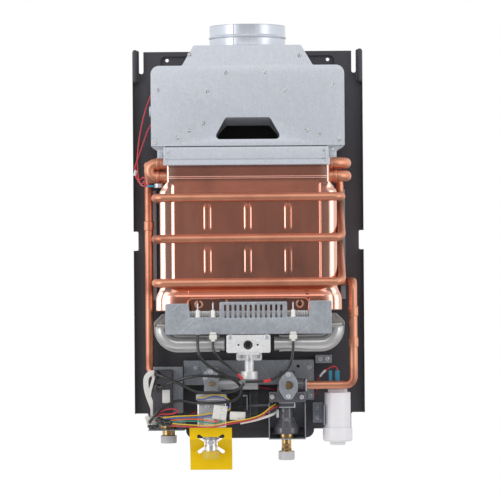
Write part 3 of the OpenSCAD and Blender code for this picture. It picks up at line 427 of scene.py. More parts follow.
class Paint:
    """The nodes of one material or of the world; patterns follow the object's own coordinates in metres."""

    def __init__(self, owner):
        owner.use_nodes = True
        self.owner, self.tree = owner, owner.node_tree
        self.tree.nodes.clear()
        self.place = self.node("ShaderNodeTexCoord").out("Object")

    def node(self, kind, settings=None, values=None):
        """Any node: its type, its settings, then the values or links of its sockets."""
        made = self.tree.nodes.new(kind)
        for key, value in (settings or {}).items():
            setattr(made, key, value)
        for key, value in (values or {}).items():
            if isinstance(value, Flow):
                self.tree.links.new(value.socket, made.inputs[key])
            else:
                made.inputs[key].default_value = value
        return Step(self, made)

    def axis(self, name):
        """One coordinate, in millimetres."""
        return self.node("ShaderNodeSeparateXYZ", None, {"Vector": self.place}).out(name) * 1000.0

    def stretched(self, stretch):
        return self.node("ShaderNodeVectorMath", {"operation": "MULTIPLY"}, {0: self.place, 1: stretch}).out()

    def noise(self, scale, detail=3.0, rough=0.5, stretch=(1, 1, 1)):
        """Cloudy noise, about 0.5 on average; scale is in cells per metre."""
        values = {"Vector": self.stretched(stretch), "Scale": scale, "Detail": detail, "Roughness": rough}
        return self.node("ShaderNodeTexNoise", None, values).out("Fac")

    def cells(self, scale, stretch):
        """Crystal cells, each with its own grey."""
        made = self.node("ShaderNodeTexVoronoi", None, {"Vector": self.stretched(stretch), "Scale": scale})
        return self.node("ShaderNodeSeparateColor", None, {"Color": made.out("Color")}).out("Red")

    def mix(self, amount, first, second):
        """Colour from first to second: sockets 6 and 7 of the node are its colours, its output 2 the mixed one."""
        made = self.node("ShaderNodeMix", {"data_type": "RGBA"})
        for key, value in ((0, amount), (6, first), (7, second)):
            if isinstance(value, Flow):
                self.tree.links.new(value.socket, made.node.inputs[key])
            else:
                made.node.inputs[key].default_value = value if key == 0 else (*tuple(value)[:3], 1.0)
        return made.out(2)

    def ramp(self, amount, stops):
        """Colour ramp with stops (position, colour)."""
        made = self.node("ShaderNodeValToRGB", None, {"Fac": amount})
        line = made.node.color_ramp.elements
        while len(line) < len(stops):
            line.new(0.5)
        for element, (position, colour) in zip(line, stops):
            element.position, element.color = position, (*tuple(colour)[:3], 1.0)
        return made.out("Color")

    def bump(self, height, millimetres):
        """Relief that stands so many millimetres high where height is 1."""
        return self.node("ShaderNodeBump", None, {"Height": height, "Distance": millimetres * MM}).out("Normal")

    def finish(self, colour, roughness, metallic, normal, **fixed):
        """Closes the material; fixed values go to the shader's own sockets, their spaces written as _."""
        values = {"Base Color": colour, "Roughness": roughness, "Metallic": metallic, "Normal": normal}
        values.update({key.replace("_", " "): value for key, value in fixed.items()})
        shader = self.node("ShaderNodeBsdfPrincipled", None, values)
        self.node("ShaderNodeOutputMaterial", None, {"Surface": shader.out()})
        return self.owner


def shade(colour, factor):
    """The colour made darker or paler by a factor, 1 at most."""
    return tuple(min(1.0, c * factor) for c in tuple(colour)[:3])


def blended(first, second, amount):
    """The colour that lies between two others, worked out in Python."""
    return tuple(a + (b - a) * amount for a, b in zip(tuple(first)[:3], tuple(second)[:3]))


def tint(label, note, code):
    """Colour property whose default is a six-digit sRGB code, kept as linear light."""
    parts = [int(code[k:k + 2], 16) / 255 for k in (0, 2, 4)]
    linear = [c / 12.92 if c <= 0.04045 else ((c + 0.055) / 1.055) ** 2.4 for c in parts]
    return bpy.props.FloatVectorProperty(name=label, description=note, subtype="COLOR", size=3, min=0, max=1,
                                         default=linear)


def length(label, note, millimetres):
    """Length property, kept in metres."""
    return bpy.props.FloatProperty(name=label, description=note, subtype="DISTANCE", unit="LENGTH", min=0,
                                   default=millimetres * MM)


class HeaterColours(bpy.types.PropertyGroup):
    """Colours of the finishes."""
    dark_paint: tint("Dark paint", "Powder coat of the back plate and the spark box", "434147")
    hood_zinc: tint("Hood zinc", "Pale galvanised sheet of the draught hood", "cbd0d9")
    galvanised: tint("Galvanised", "Worn zinc sheet of the guard plate and the brackets", "b1b6be")
    copper_sheet: tint("Copper sheet", "Heat-darkened sheet of the heat exchanger", "dc8365")
    # Colour of the rubbed streaks, and also the base of the painted highlight at the sides of the copper sheet.
    copper_streak_and_highlight: tint("Copper streaks", "Brighter copper where the sheet has been rubbed", "eca584")
    # Painted reflection: the orange that the lowest coil pipe throws on the copper sheet above the burner window.
    copper_painted_reflection: tint("Copper by the burner", "Orange copper round the burner window", "e27a4c")
    copper_pipe: tint("Copper pipe", "Drawn water pipe", "e8a283")
    copper_stain: tint("Pipe tarnish", "Red-brown tarnish on the pipes", "c07860")
    stainless: tint("Stainless steel", "Burner tray and bars", "c2beba")
    cast_aluminium: tint("Cast aluminium", "Casting of the gas valve", "bcbec2")
    brass: tint("Brass", "Spindles, injectors and fittings", "c6a572")
    pressed_steel: tint("Pressed steel", "Bright skin of the mixing tubes and the row of burner ports", "dededf")
    bright_zinc: tint("Bright zinc", "Fresh zinc of the injector, gas column and solenoid covers", "ededf0")
    smoked_plastic: tint("Smoked plastic", "Dark glossy body of the water valve", "5a5960")
    screw_steel: tint("Plated steel", "Screws, clips and levers", "dfe3ea")
    black_plastic: tint("Black plastic", "Bodies of the switch and the flow sensor", "1e1f22")
    grey_plastic: tint("Grey plastic", "Battery case and its cap", "e9e7eb")
    cap_plastic: tint("Cap plastic", "Dust caps of the water connections", "c2c0c4")
    yellow_plastic: tint("Yellow plastic", "Dust cap of the gas connection", "e8c840")
    tag_card: tint("Tag card", "Card tag round the gas connection", "f2c800")
    cell_jacket: tint("Cell jacket", "Jacket of the round cell", "3a5f8a")
    white_nylon: tint("White nylon", "Connectors and tapes", "dcdad6")
    ceramic: tint("Ceramic", "Glazed insulators of the electrodes", "f1efe9")
    black_rubber: tint("Black rubber", "Ignition leads and boots", "141416")
    red_wire: tint("Red wire", "Insulation of the red wires", "cf3140")
    yellow_wire: tint("Yellow wire", "Insulation of the yellow wires", "d9b62c")
    blue_wire: tint("Blue wire", "Insulation of the blue wires", "4a66b0")
    green_wire: tint("Green wire", "Insulation of the green wire", "1f8f7a")
    orange_wire: tint("Orange wire", "Insulation of the orange wire", "e0662e")
    blue_sleeve: tint("Blue terminal", "Sleeves of the crimped terminals", "3f9cc0")
    red_tape: tint("Red tape", "Tape bands on the ignition leads", "c8202c")
    # Painted shade: the dark grey given to the inside of the draught hood.
    hood_inside_shade: tint("Soot", "Dark inside of the draught hood", "2b2c2f")
    floor: tint("Floor", "Studio floor", "f4f4f4")


class HeaterStudio(bpy.types.PropertyGroup):
    """Camera and light."""
    camera_distance: length("Camera distance", "Distance of the camera in front of the wall", 3970)
    camera_side: length("Camera side", "Shift of the camera to the right of the middle", 1.9)
    camera_drop: length("Camera drop", "Height of the camera below the wall holes", 281.8)
    camera_roll: bpy.props.FloatProperty(name="Camera roll", description="Turn of the camera about its view",
                                         subtype="ANGLE", unit="ROTATION", default=math.radians(0.43))
    lens: bpy.props.FloatProperty(name="Lens", description="Focal length on a 36 mm sensor", default=192.7, min=1)
    floor_drop: length("Floor drop", "Height of the floor below the wall holes", 800)
    floor_radius: length("Floor radius", "Radius at which the floor has faded out", 600)
    sky: bpy.props.FloatProperty(name="Sky", description="Strength of the even light all round", default=0.7, min=0)
    room_dark: bpy.props.FloatProperty(name="Dark of the room", min=0, max=1, default=0.75,
                                       description="How much darker than white the room in front reads in metal")
    key: bpy.props.FloatProperty(name="Key light", description="Power of the large lamp at the left", subtype="POWER",
                                 unit="POWER", default=22, min=0)
    fill: bpy.props.FloatProperty(name="Fill light", description="Power of the lamp at the right", subtype="POWER",
                                  unit="POWER", default=12, min=0)
    top: bpy.props.FloatProperty(name="Top light", description="Power of the lamp overhead", subtype="POWER",
                                 unit="POWER", default=12, min=0)


def painted(paint, colour):
    """Powder coat: a fine orange peel and a soft unevenness of gloss."""
    cloud, peel = paint.noise(9, 4), paint.noise(900, 2)
    tone = paint.mix(cloud.between(0.3, 0.7), shade(colour, 0.9), shade(colour, 1.12))
    scuff = paint.noise(60, 5, 0.7, (1, 1, 0.25)).between(0.66, 0.78) * 0.35
    return paint.finish(paint.mix(scuff, tone, shade(colour, 1.7)), 0.44 + cloud * 0.2, 0.0,
                        paint.bump(peel, 0.06), Specular_IOR_Level=0.5)


def spangled(paint, colour, grain=70, depth=0.10, rough=0.36, streak=0.0, metal=0.4, clouds=0.16, lines=0.05):
    """Zinc coat: crystals of slightly different grey, thin brush marks and dull clouds."""
    crystal = paint.cells(grain, (1, 1, 0.8))
    cloud, fine = paint.noise(7, 5, 0.6), paint.noise(420, 3, 0.6, (1, 1, 0.12))
    level = crystal * depth + cloud * clouds + fine * lines + (1.0 - depth / 2 - clouds / 2 - lines / 2)
    tone = paint.mix((level - 0.8) * 2.5, shade(colour, 0.8), shade(colour, 1.2))
    if streak:
        stain = paint.noise(26, 5, 0.6, (1, 1, 0.14)).between(0.58, 0.8) * streak
        tone = paint.mix(stain, tone, shade(colour, 0.62))
    return paint.finish(tone, (crystal - 0.5) * 0.09 + cloud * 0.12 + (rough - 0.06), metal,
                        paint.bump(fine, 0.03), Specular_IOR_Level=0.5)


def darkened_copper(paint, colour, streak_and_highlight, painted_reflection):
    """Copper sheet that heat has turned red-brown, in upright runs, with paler rubbed streaks; painted shade darkens
    its top under the hood, a painted reflection of the lowest coil pipe turns it more orange above the burner window,
    and a painted highlight pales both sides."""
    run = paint.noise(40, 5, 0.6, (1, 1, 0.2))
    cloud = paint.noise(12, 4, 0.55, (1, 1, 0.6))
    tone = paint.ramp(run * 0.4 + cloud * 0.6, [(0.32, shade(colour, 0.64)), (0.45, shade(colour, 0.94)),
                                                (0.55, shade(colour, 1.05)), (0.70, streak_and_highlight)])
    spot = paint.noise(240, 3, 0.6).between(0.68, 0.78) * 0.3
    tone = paint.mix(spot, tone, shade(colour, 0.5))
    height = paint.axis("Z")
    # Painted shade: above z = -186, under the hood, the sheet turns three quarters of the way to 0.42 of its colour.
    tone = paint.mix(height.between(-186, -178) * 0.75, tone, shade(colour, 0.42))
    # Painted reflection: from z = -326 down to -344, below the lowest coil pipe, the sheet turns towards the orange of
    # that pipe's reflection.
    tone = paint.mix(height.between(-326, -344) * 0.45, tone, painted_reflection)
    across = paint.axis("X")
    # Painted highlight: from 100 to 120 mm out to each side the sheet turns half-way to a pale cream, as the corners
    # would shine.
    painted_highlight = blended(streak_and_highlight, (0.9, 0.8, 0.74), 0.55)
    tone = paint.mix(((across * across) ** 0.5).between(100, 120) * 0.5, tone, painted_highlight)
    return paint.finish(tone, 0.18 + cloud * 0.1, 1.0, paint.bump(paint.noise(30, 2), 0.15),
                        Coat_Weight=0.8, Coat_Roughness=0.07, Coat_IOR=2.2)


def drawn_copper(paint, colour, stain):
    """Drawn pipe: satin copper with soft tarnished patches and a few fine spots."""
    patch = paint.noise(14, 4, 0.55)
    tone = paint.ramp(patch, [(0.30, stain), (0.42, blended(stain, colour, 0.7)), (0.52, colour),
                              (0.70, shade(colour, 1.12))])
    fleck = paint.noise(260, 3, 0.6).between(0.66, 0.78) * 0.3
    return paint.finish(paint.mix(fleck, tone, stain), 0.50 - patch * 0.06 + fleck * 0.1, 1.0,
                        paint.bump(paint.noise(400, 2), 0.01), Coat_Weight=0.3, Coat_Roughness=0.4, Coat_IOR=1.6)


def scratched(paint, colour, grain=420):
    """Worn zinc sheet: fine crystals, long thin scratches in two slants and grey rubbed clouds."""
    crystal, cloud = paint.cells(grain, (1, 1, 0.7)), paint.noise(30, 5, 0.65)
    marks = 0.0
    for slant, stretch in ((0.5, (1, 1, 0.03)), (-0.9, (1, 1, 0.04))):
        place = paint.node("ShaderNodeMapping", None, {"Vector": paint.place, "Rotation": (0, slant, 0)}).out()
        line = paint.node("ShaderNodeTexNoise", None, {
            "Vector": paint.node("ShaderNodeVectorMath", {"operation": "MULTIPLY"}, {0: place, 1: stretch}).out(),
            "Scale": 620.0, "Detail": 2.0, "Roughness": 0.5}).out("Fac")
        marks = line.between(0.64, 0.72) + marks
    tone = paint.mix(crystal * 0.35 + cloud * 0.65, shade(colour, 0.72), shade(colour, 1.22))
    tone = paint.mix((marks * 0.5).least(0.6), tone, shade(colour, 1.6))
    return paint.finish(tone, 0.30 + cloud * 0.2, 0.5, paint.bump(crystal, 0.02), Specular_IOR_Level=0.5)


def brushed(paint, colour, stretch=(0.06, 1, 1), rough=0.27, straw=0.35, metal=1.0):
    """Rolled stainless steel: brush lines along the sheet, cloudy gloss and faint straw heat tint."""
    line = paint.noise(700, 3, 0.7, stretch)
    cloud = paint.noise(16, 4, 0.6)
    tone = paint.mix(line, shade(colour, 0.84), shade(colour, 1.1))
    tone = paint.mix(cloud.between(0.5, 0.75) * straw, tone, (0.60, 0.50, 0.40))
    return paint.finish(tone, rough + cloud * 0.14 + line * 0.06, metal, paint.bump(line, 0.02),
                        Specular_IOR_Level=0.5)


def cast(paint, colour):
    """Sand-blasted casting: even small pits and a dull skin."""
    pit, cloud = paint.noise(1100, 3, 0.7), paint.noise(40, 4)
    tone = paint.mix(pit * 0.6 + cloud * 0.4, shade(colour, 0.72), shade(colour, 1.2))
    return paint.finish(tone, 0.40 + pit * 0.2, 0.85, paint.bump(pit, 0.16), Specular_IOR_Level=0.5)


def turned_metal(paint, colour, dark, rough=0.2, metal=1.0):
    """Machined metal: faint tool rings and darker oxide clouds."""
    cloud, fine = paint.noise(70, 5, 0.6), paint.noise(900, 3, 0.6, (0.2, 0.2, 1))
    tone = paint.mix(cloud.between(0.42, 0.68) * 0.6 + fine * 0.15, colour, dark)
    return paint.finish(tone, rough + cloud * 0.16 + fine * 0.08, metal, paint.bump(fine, 0.02),
                        Specular_IOR_Level=0.5)


def weld_mark(paint, colour, dull):
    """Spot weld: bright squeezed zinc with brown and grey burnt crumbs."""
    crumb, ring = paint.noise(900, 3, 0.7), paint.noise(500, 2)
    tone = paint.mix(crumb.between(0.47, 0.57), colour, shade(dull, 0.4))
    tone = paint.mix(ring.between(0.60, 0.68) * 0.5, tone, (0.36, 0.22, 0.13))
    return paint.finish(tone, 0.34 + crumb * 0.2, 0.6, paint.bump(crumb, 0.08), Specular_IOR_Level=0.5)


def moulded(paint, colour, rough=0.38, grain=0.05, clear=0.0, scatter=0.0, mottle=0.06, coat=0.0):
    """Injection-moulded plastic: spark-eroded grain, flow marks and a little dust."""
    flow, fine = paint.noise(30, 4, 0.55, (1, 1, 0.4)), paint.noise(1500, 2)
    tone = paint.mix(flow, shade(colour, 1 - mottle * 2), shade(colour, 1 + mottle * 2))
    dust = paint.noise(180, 4, 0.7).between(0.64, 0.8) * 0.10
    tone = paint.mix(dust, tone, (0.6, 0.58, 0.55))
    return paint.finish(tone, rough + flow * 0.12, 0.0, paint.bump(fine, grain), Specular_IOR_Level=0.5,
                        Transmission_Weight=clear, Subsurface_Weight=scatter, Subsurface_Radius=(0.004, 0.003, 0.002),
                        Coat_Weight=coat, Coat_Roughness=0.08)


def card(paint, colour):
    """Coated card: short paper fibres, faint grain and softly worn print."""
    fibre, cloud = paint.noise(1400, 4, 0.7, (1, 1, 0.3)), paint.noise(45, 4)
    tone = paint.mix(fibre * 0.5 + cloud * 0.5, shade(colour, 0.82), shade(colour, 1.14))
    return paint.finish(tone, 0.42 + cloud * 0.16, 0.0, paint.bump(fibre, 0.04), Specular_IOR_Level=0.2)


def glazed(paint, colour):
    """Glazed ceramic: thin clear glaze over a warm white body with a few specks."""
    speck, cloud = paint.noise(700, 2).between(0.70, 0.76), paint.noise(60, 3)
    tone = paint.mix(cloud, shade(colour, 0.9), shade(colour, 1.02))
    return paint.finish(paint.mix(speck * 0.3, tone, (0.35, 0.3, 0.25)), 0.24 + cloud * 0.1, 0.0,
                        paint.bump(cloud, 0.05), Coat_Weight=0.6, Coat_Roughness=0.08)


def insulated(paint, colour, rough=0.36, coat=0.3):
    """Wire insulation: soft extruded skin with slight lengthwise unevenness."""
    run, fine = paint.noise(160, 3, 0.6), paint.noise(2200, 2)
    tone = paint.mix(run, shade(colour, 0.78), shade(colour, 1.2))
    return paint.finish(tone, rough + run * 0.16, 0.0, paint.bump(fine, 0.04), Specular_IOR_Level=0.6,
                        Coat_Weight=coat, Coat_Roughness=0.08)


RECIPES = {
    "dark_paint": lambda p, c: painted(p, c.dark_paint),
    "hood_zinc": lambda p, c: spangled(p, c.hood_zinc, 520, 0.09, 0.46, metal=0.3, clouds=0.03, lines=0.1),
    # Painted shade: the hood zinc at a third of its colour, for the lip pressed in round the window.
    "painted_shade_lip_zinc": lambda p, c: spangled(p, shade(c.hood_zinc, 0.34), 520, 0.1, 0.40, metal=0.7, clouds=0.05),
    "collar_zinc": lambda p, c: brushed(p, shade(c.hood_zinc, 1.15), (1, 1, 0.05), 0.24, 0.0, 0.62),
    "pressed_steel": lambda p, c: brushed(p, c.pressed_steel, (0.06, 1, 1), 0.24, 0.06, 0.78),
    "scratched_zinc": lambda p, c: scratched(p, c.galvanised),
    "bright_zinc": lambda p, c: spangled(p, c.bright_zinc, 500, 0.12, 0.38, metal=0.3, clouds=0.05),
    "shiny_zinc": lambda p, c: brushed(p, c.bright_zinc, (1, 1, 0.06), 0.22, 0.0),
    "smoked_plastic": lambda p, c: moulded(p, c.smoked_plastic, 0.16, 0.03, mottle=0.08, coat=0.6),
    "galvanised": lambda p, c: scratched(p, shade(c.galvanised, 0.86), 700),
    # Painted shade: the galvanised finish at 0.3 of its colour, for the switch bracket and the push rod, which read
    # dark.
    "painted_shade_galvanised": lambda p, c: scratched(p, shade(c.galvanised, 0.3), 700),
    "copper_sheet": lambda p, c: darkened_copper(p, c.copper_sheet, c.copper_streak_and_highlight, c.copper_painted_reflection),
    # Painted shade: the copper finish at 0.3 to 0.4 of its colours, for the sheet behind the burner window.
    "painted_shade_copper": lambda p, c: darkened_copper(p, shade(c.copper_sheet, 0.3), shade(c.copper_streak_and_highlight, 0.4),
                                                    shade(c.copper_painted_reflection, 0.35)),
    "copper_pipe": lambda p, c: drawn_copper(p, c.copper_pipe, c.copper_stain),
    "stainless": lambda p, c: brushed(p, c.stainless),
    "cast_aluminium": lambda p, c: cast(p, c.cast_aluminium),
    "brass": lambda p, c: turned_metal(p, c.brass, shade(c.brass, 0.5), 0.2),
    "screw_steel": lambda p, c: turned_metal(p, c.screw_steel, shade(c.screw_steel, 0.7), 0.2, 0.55),
    "black_plastic": lambda p, c: moulded(p, c.black_plastic, 0.36, 0.06, mottle=0.1),
    "grey_plastic": lambda p, c: moulded(p, c.grey_plastic, 0.30, 0.04, scatter=0.05, mottle=0.03),
    "cap_plastic": lambda p, c: moulded(p, c.cap_plastic, 0.40, 0.04, scatter=0.15, mottle=0.04),
    "yellow_plastic": lambda p, c: moulded(p, c.yellow_plastic, 0.26, 0.02, clear=0.25, scatter=0.3, mottle=0.05),
    "tag_card": lambda p, c: card(p, c.tag_card),
    "cell_jacket": lambda p, c: turned_metal(p, c.cell_jacket, shade(c.cell_jacket, 0.5), 0.26),
    "white_nylon": lambda p, c: moulded(p, c.white_nylon, 0.38, 0.04, scatter=0.1, mottle=0.03),
    "ceramic": lambda p, c: glazed(p, c.ceramic),
    "black_rubber": lambda p, c: insulated(p, c.black_rubber, 0.24, 0.4),
    "red_wire": lambda p, c: insulated(p, c.red_wire),
    "yellow_wire": lambda p, c: insulated(p, c.yellow_wire),
    "blue_wire": lambda p, c: insulated(p, c.blue_wire),
    "green_wire": lambda p, c: insulated(p, c.green_wire),
    "orange_wire": lambda p, c: insulated(p, c.orange_wire),
    "blue_sleeve": lambda p, c: moulded(p, c.blue_sleeve, 0.22, 0.02, clear=0.2, mottle=0.05),
    "red_tape": lambda p, c: insulated(p, c.red_tape, 0.28),
    # Painted shade for the inside of the hood: a dark zinc with stains.
    "painted_shade_zinc": lambda p, c: spangled(p, c.hood_inside_shade, 90, 0.2, 0.6, 0.3, 0.1),
    "weld_scorch": lambda p, c: weld_mark(p, c.bright_zinc, c.galvanised),
}


def finish_of(name):
    """The material of that name, made on first use."""
    made = bpy.data.materials.get("finish_" + name)
    if made:
        return made
    return RECIPES[name](Paint(bpy.data.materials.new("finish_" + name)), bpy.context.scene.heater_colours)


def softened(node, bevel, name=None):
    """A copy of a boxy solid with its loose triangles merged and its edges broken, standing for that solid."""
    return piece(node + "_edges", welded(node), name or SLOT_OF[node], node, True, bevel=bevel)


class HEATER_OT_solids(bpy.types.Operator):
    """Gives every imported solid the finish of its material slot"""
    bl_idname = "heater.solids"
    bl_label = "Packed solids"

    def execute(self, context):
        for node, solid in frame["nodes"].items():
            solid.data.materials.clear()
            solid.data.materials.append(finish_of(SLOT_OF[node]))
        return {"FINISHED"}


def smooth_step(low, high, value):
    """0 below low, 1 above high and a smooth cubic between."""
    t = np.clip((value - low) / (high - low), 0, 1)
    return t * t * (3 - 2 * t)


def rim(outline, section, closed=True):
    """A cross-section carried round an outline: row k is the outline inset by a(k) at height h(k)."""
    loop = facing(np.asarray(outline, float))
    rows = np.stack([FRONT(*inset(loop, a).T, h) for a, h in section])
    return lattice(rows, along=closed)


def dome(x, d, z, r, h):
    """Low round head: radius r cos t, height h sin t."""
    t = np.linspace(0, math.pi / 2, 6)
    profile = np.stack([r * np.cos(t), h * np.sin(t)], -1)
    return turned([(0, -0.3), (r, -0.3), *profile], x, d, z, "y", 24, r=0)


def weld(x, d, z, r):
    """Spot weld: radius r t, height 0.28 sin^2(pi t) with the middle 0.12 lower."""
    t = np.linspace(0, 1, 9)
    height = 0.28 * np.sin(math.pi * t) ** 2 - 0.12 * (1 - smooth_step(0.2, 0.5, t)) + 0.12
    return turned(np.stack([r * t, height], -1), x, d, z, "y", 20, r=0)


def screw(x, d, z, r, h, turn, slot="cross"):
    """Pan head that faces the front: height h (1 - 0.16 (radius / r)^2) over a short cylinder, with a recess 0.7 h deep
    of one or two crossed grooves, each arm of length 0.62 r and half width 0.17 r, turned by so many degrees."""
    steps, rows = 48, 14
    t = np.arange(steps) * 2 * math.pi / steps
    radius = np.concatenate([np.linspace(0.02, 0.86, rows), [0.94, 0.985, 1, 1]]) * r
    cap = h * np.concatenate([1 - 0.16 * np.linspace(0, 0.86, rows) ** 2, [0.80, 0.66, 0.5, -0.02]])
    a, b = radius[:, None] * np.cos(t), radius[:, None] * np.sin(t)
    c, s = math.cos(math.radians(turn)), math.sin(math.radians(turn))
    u, v = a * c + b * s, b * c - a * s
    arm, width = 0.62 * r, 0.17 * r

    def groove(p, q):
        return smooth_step(-0.1 * r, 0.02 * r, width - np.abs(q)) * smooth_step(0, 0.25 * r, arm - np.abs(p))

    cut = groove(u, v) if slot == "one" else np.maximum(groove(u, v), groove(v, u))
    top = (radius < 0.9 * r)[:, None]
    height = cap[:, None] - cut * top * h * 0.7
    return lattice(spot(x + a, d + height, z + b), caps=True)


def hood_outline(out=0.0):
    """Front outline of the hood, grown by out."""
    half = HOOD_W / 2 + out
    foot, knee, top = -132, -16.5 + out, 12.5 + out
    inner, outer = 77 + 0.574 * out, 94 + 0.574 * out
    return rounded([(-half, foot, 0), (half, foot, 0), (half, knee, 12 + out), (outer, knee, 3), (inner, top, 3 + out),
                    (-inner, top, 3 + out), (-outer, knee, 3), (-half, knee, 12 + out)], 6)


def window_outline():
    """Trapezoid window in the front of the hood."""
    return rounded([(-49, -122.5, 5), (49, -122.5, 5), (32, -91.5, 5), (-32, -91.5, 5)], 6)


def window_lip():
    """Lip pressed inwards round the window: the outline slides from its front line to a smaller one, 11.5 lower at the
    top and 1.5 to 8 in from the sides, while the depth falls from 128 to 116.6; the back row runs one sheet behind."""
    outer = facing(rounded([(-49.4, -122.9, 5), (49.4, -122.9, 5), (32.3, -91.1, 5), (-32.3, -91.1, 5)], 8))
    inner = facing(rounded([(-47.6, -122.3, 4), (47.6, -122.3, 4), (30.5, -102.6, 4), (-30.5, -102.6, 4)], 8))
    share = np.array([0, 0.04, 0.12, 0.3, 0.6, 0.85, 1.0])
    depth = np.array([128.0, 127.9, 127.2, 125.0, 121.4, 118.4, 116.6])
    rows = [FRONT(*(outer + (inner - outer) * s).T, d) for s, d in zip(share, depth)]
    rows += [FRONT(*(outer + (inner - outer) * s).T, d) for s, d in zip(share[::-1], depth[::-1] - SHEET)]
    return lattice(np.stack(rows), along=True)


def apron_form():
    """Apron of the skirt: a shallow box whose front d(z) is 126.8, with a groove 1.5 deep at z = -151.2 and a
    rolled foot."""
    z = np.array([-159.5, -159.3, -158.6, -153.4, -152.5, -151.8, -151.2, -150.6, -149.9, -149, -136, -133.9, -133.3])
    front = 126.8 - 1.5 * np.exp(-((z + 151.2) / 0.75) ** 2) - 1.2 * smooth_step(-158.8, -159.6, z) \
        - 0.7 * smooth_step(-134.2, -133.4, z)
    rows = [spot([-120.8, 115.2, 115.2, -120.8], [119.6, 119.6, d, d], h) for h, d in zip(z, front)]
    return lattice(np.stack(rows), caps=True)


HOOD_W, HOOD_REAR, HOOD_FACE, HOOD_TOP = 278, 12, 128, 12.5
COLLAR_X, COLLAR_D = 0.4, 70
# Spot welds (x, z), and marks on the skirt (x, z, radius)
HOOD_WELDS = [(-128.3, -51.2), (-58.4, -52.9), (-30.4, -27.1), (24.9, -26.1), (53.3, -52.9), (123.2, -46.1),
              (-63.4, -99.5), (-84.2, -109.6), (-100.7, -119.6), (85.1, -110.3), (102.4, -116.8), (131.2, -123.9),
              (-132, -126.8), (-82.8, -0.5), (75.1, -3.4)]
SKIRT_CLINCHES = [(-113.4, -141.2, 2.2), (-113.0, -146.4, 1.8), (-116.0, -154.5, 1.5), (108.6, -139.5, 2.0),
                  (109.4, -145.6, 2.3), (107.0, -149.8, 1.8), (109.8, -153.4, 1.5), (-125.8, -138.2, 1.6),
                  (122.0, -138.0, 1.6)]
COLLAR_PROFILE = [(54, 12.5), (57.2, 12.5), (57.2, 13.3), (55.2, 13.6), (55, 24.0), (55.3, 24.6), (56.2, 25.2),
                  (56.6, 26.5), (56.2, 27.8), (55.3, 28.4), (55, 29), (55, 42.7), (55.5, 43.3), (54.7, 43.5),
                  (54.1, 43.1), (54.1, 29), (54.6, 28), (55.4, 26.5), (54.6, 25), (54.1, 24)]


def skirt_form():
    """Skirt under the hood: at each height a rounded rectangle, 118 to each side, that grows by 21 mm on its way up to
    the hood, its long edges cut into steps of about 20 mm."""
    z = np.array([-159.5, -158.9, -153.4, -152.6, -151.8, -151.0, -150.2, -149.4, -148.4, -146.2, -144.6, -141.0, -137,
                  -133.8, -132.4, -132])
    out = np.where(z > -145, (z + 145) / 13, 0) * 0.9 + smooth_step(-145.6, -132.2, z) * 0.1
    rows = []
    for grow in out:
        half, rear, front = 118 + 21 * grow, 18 - 6 * grow, 118.4 + 1.2 * grow
        corners = rounded([(-half, rear, 3), (half, rear, 3), (half, front, 3), (-half, front, 3)], 5)
        dense = []
        for a, b in zip(corners, np.roll(corners, -1, 0)):
            n = max(1, int(np.linalg.norm(b - a) / 20))
            dense.append(a + (b - a) * (np.arange(n) / n)[:, None])
        rows.append(np.concatenate(dense))
    count = min(len(row) for row in rows)
    return lattice(np.stack([spot(*row[:count].T, h) for row, h in zip(rows, z)]))


def walled(thing):
    """Gives an open sheet its thickness, inwards."""
    wall = thing.modifiers.new("wall", "SOLIDIFY")
    wall.thickness, wall.offset = SHEET * MM, -1


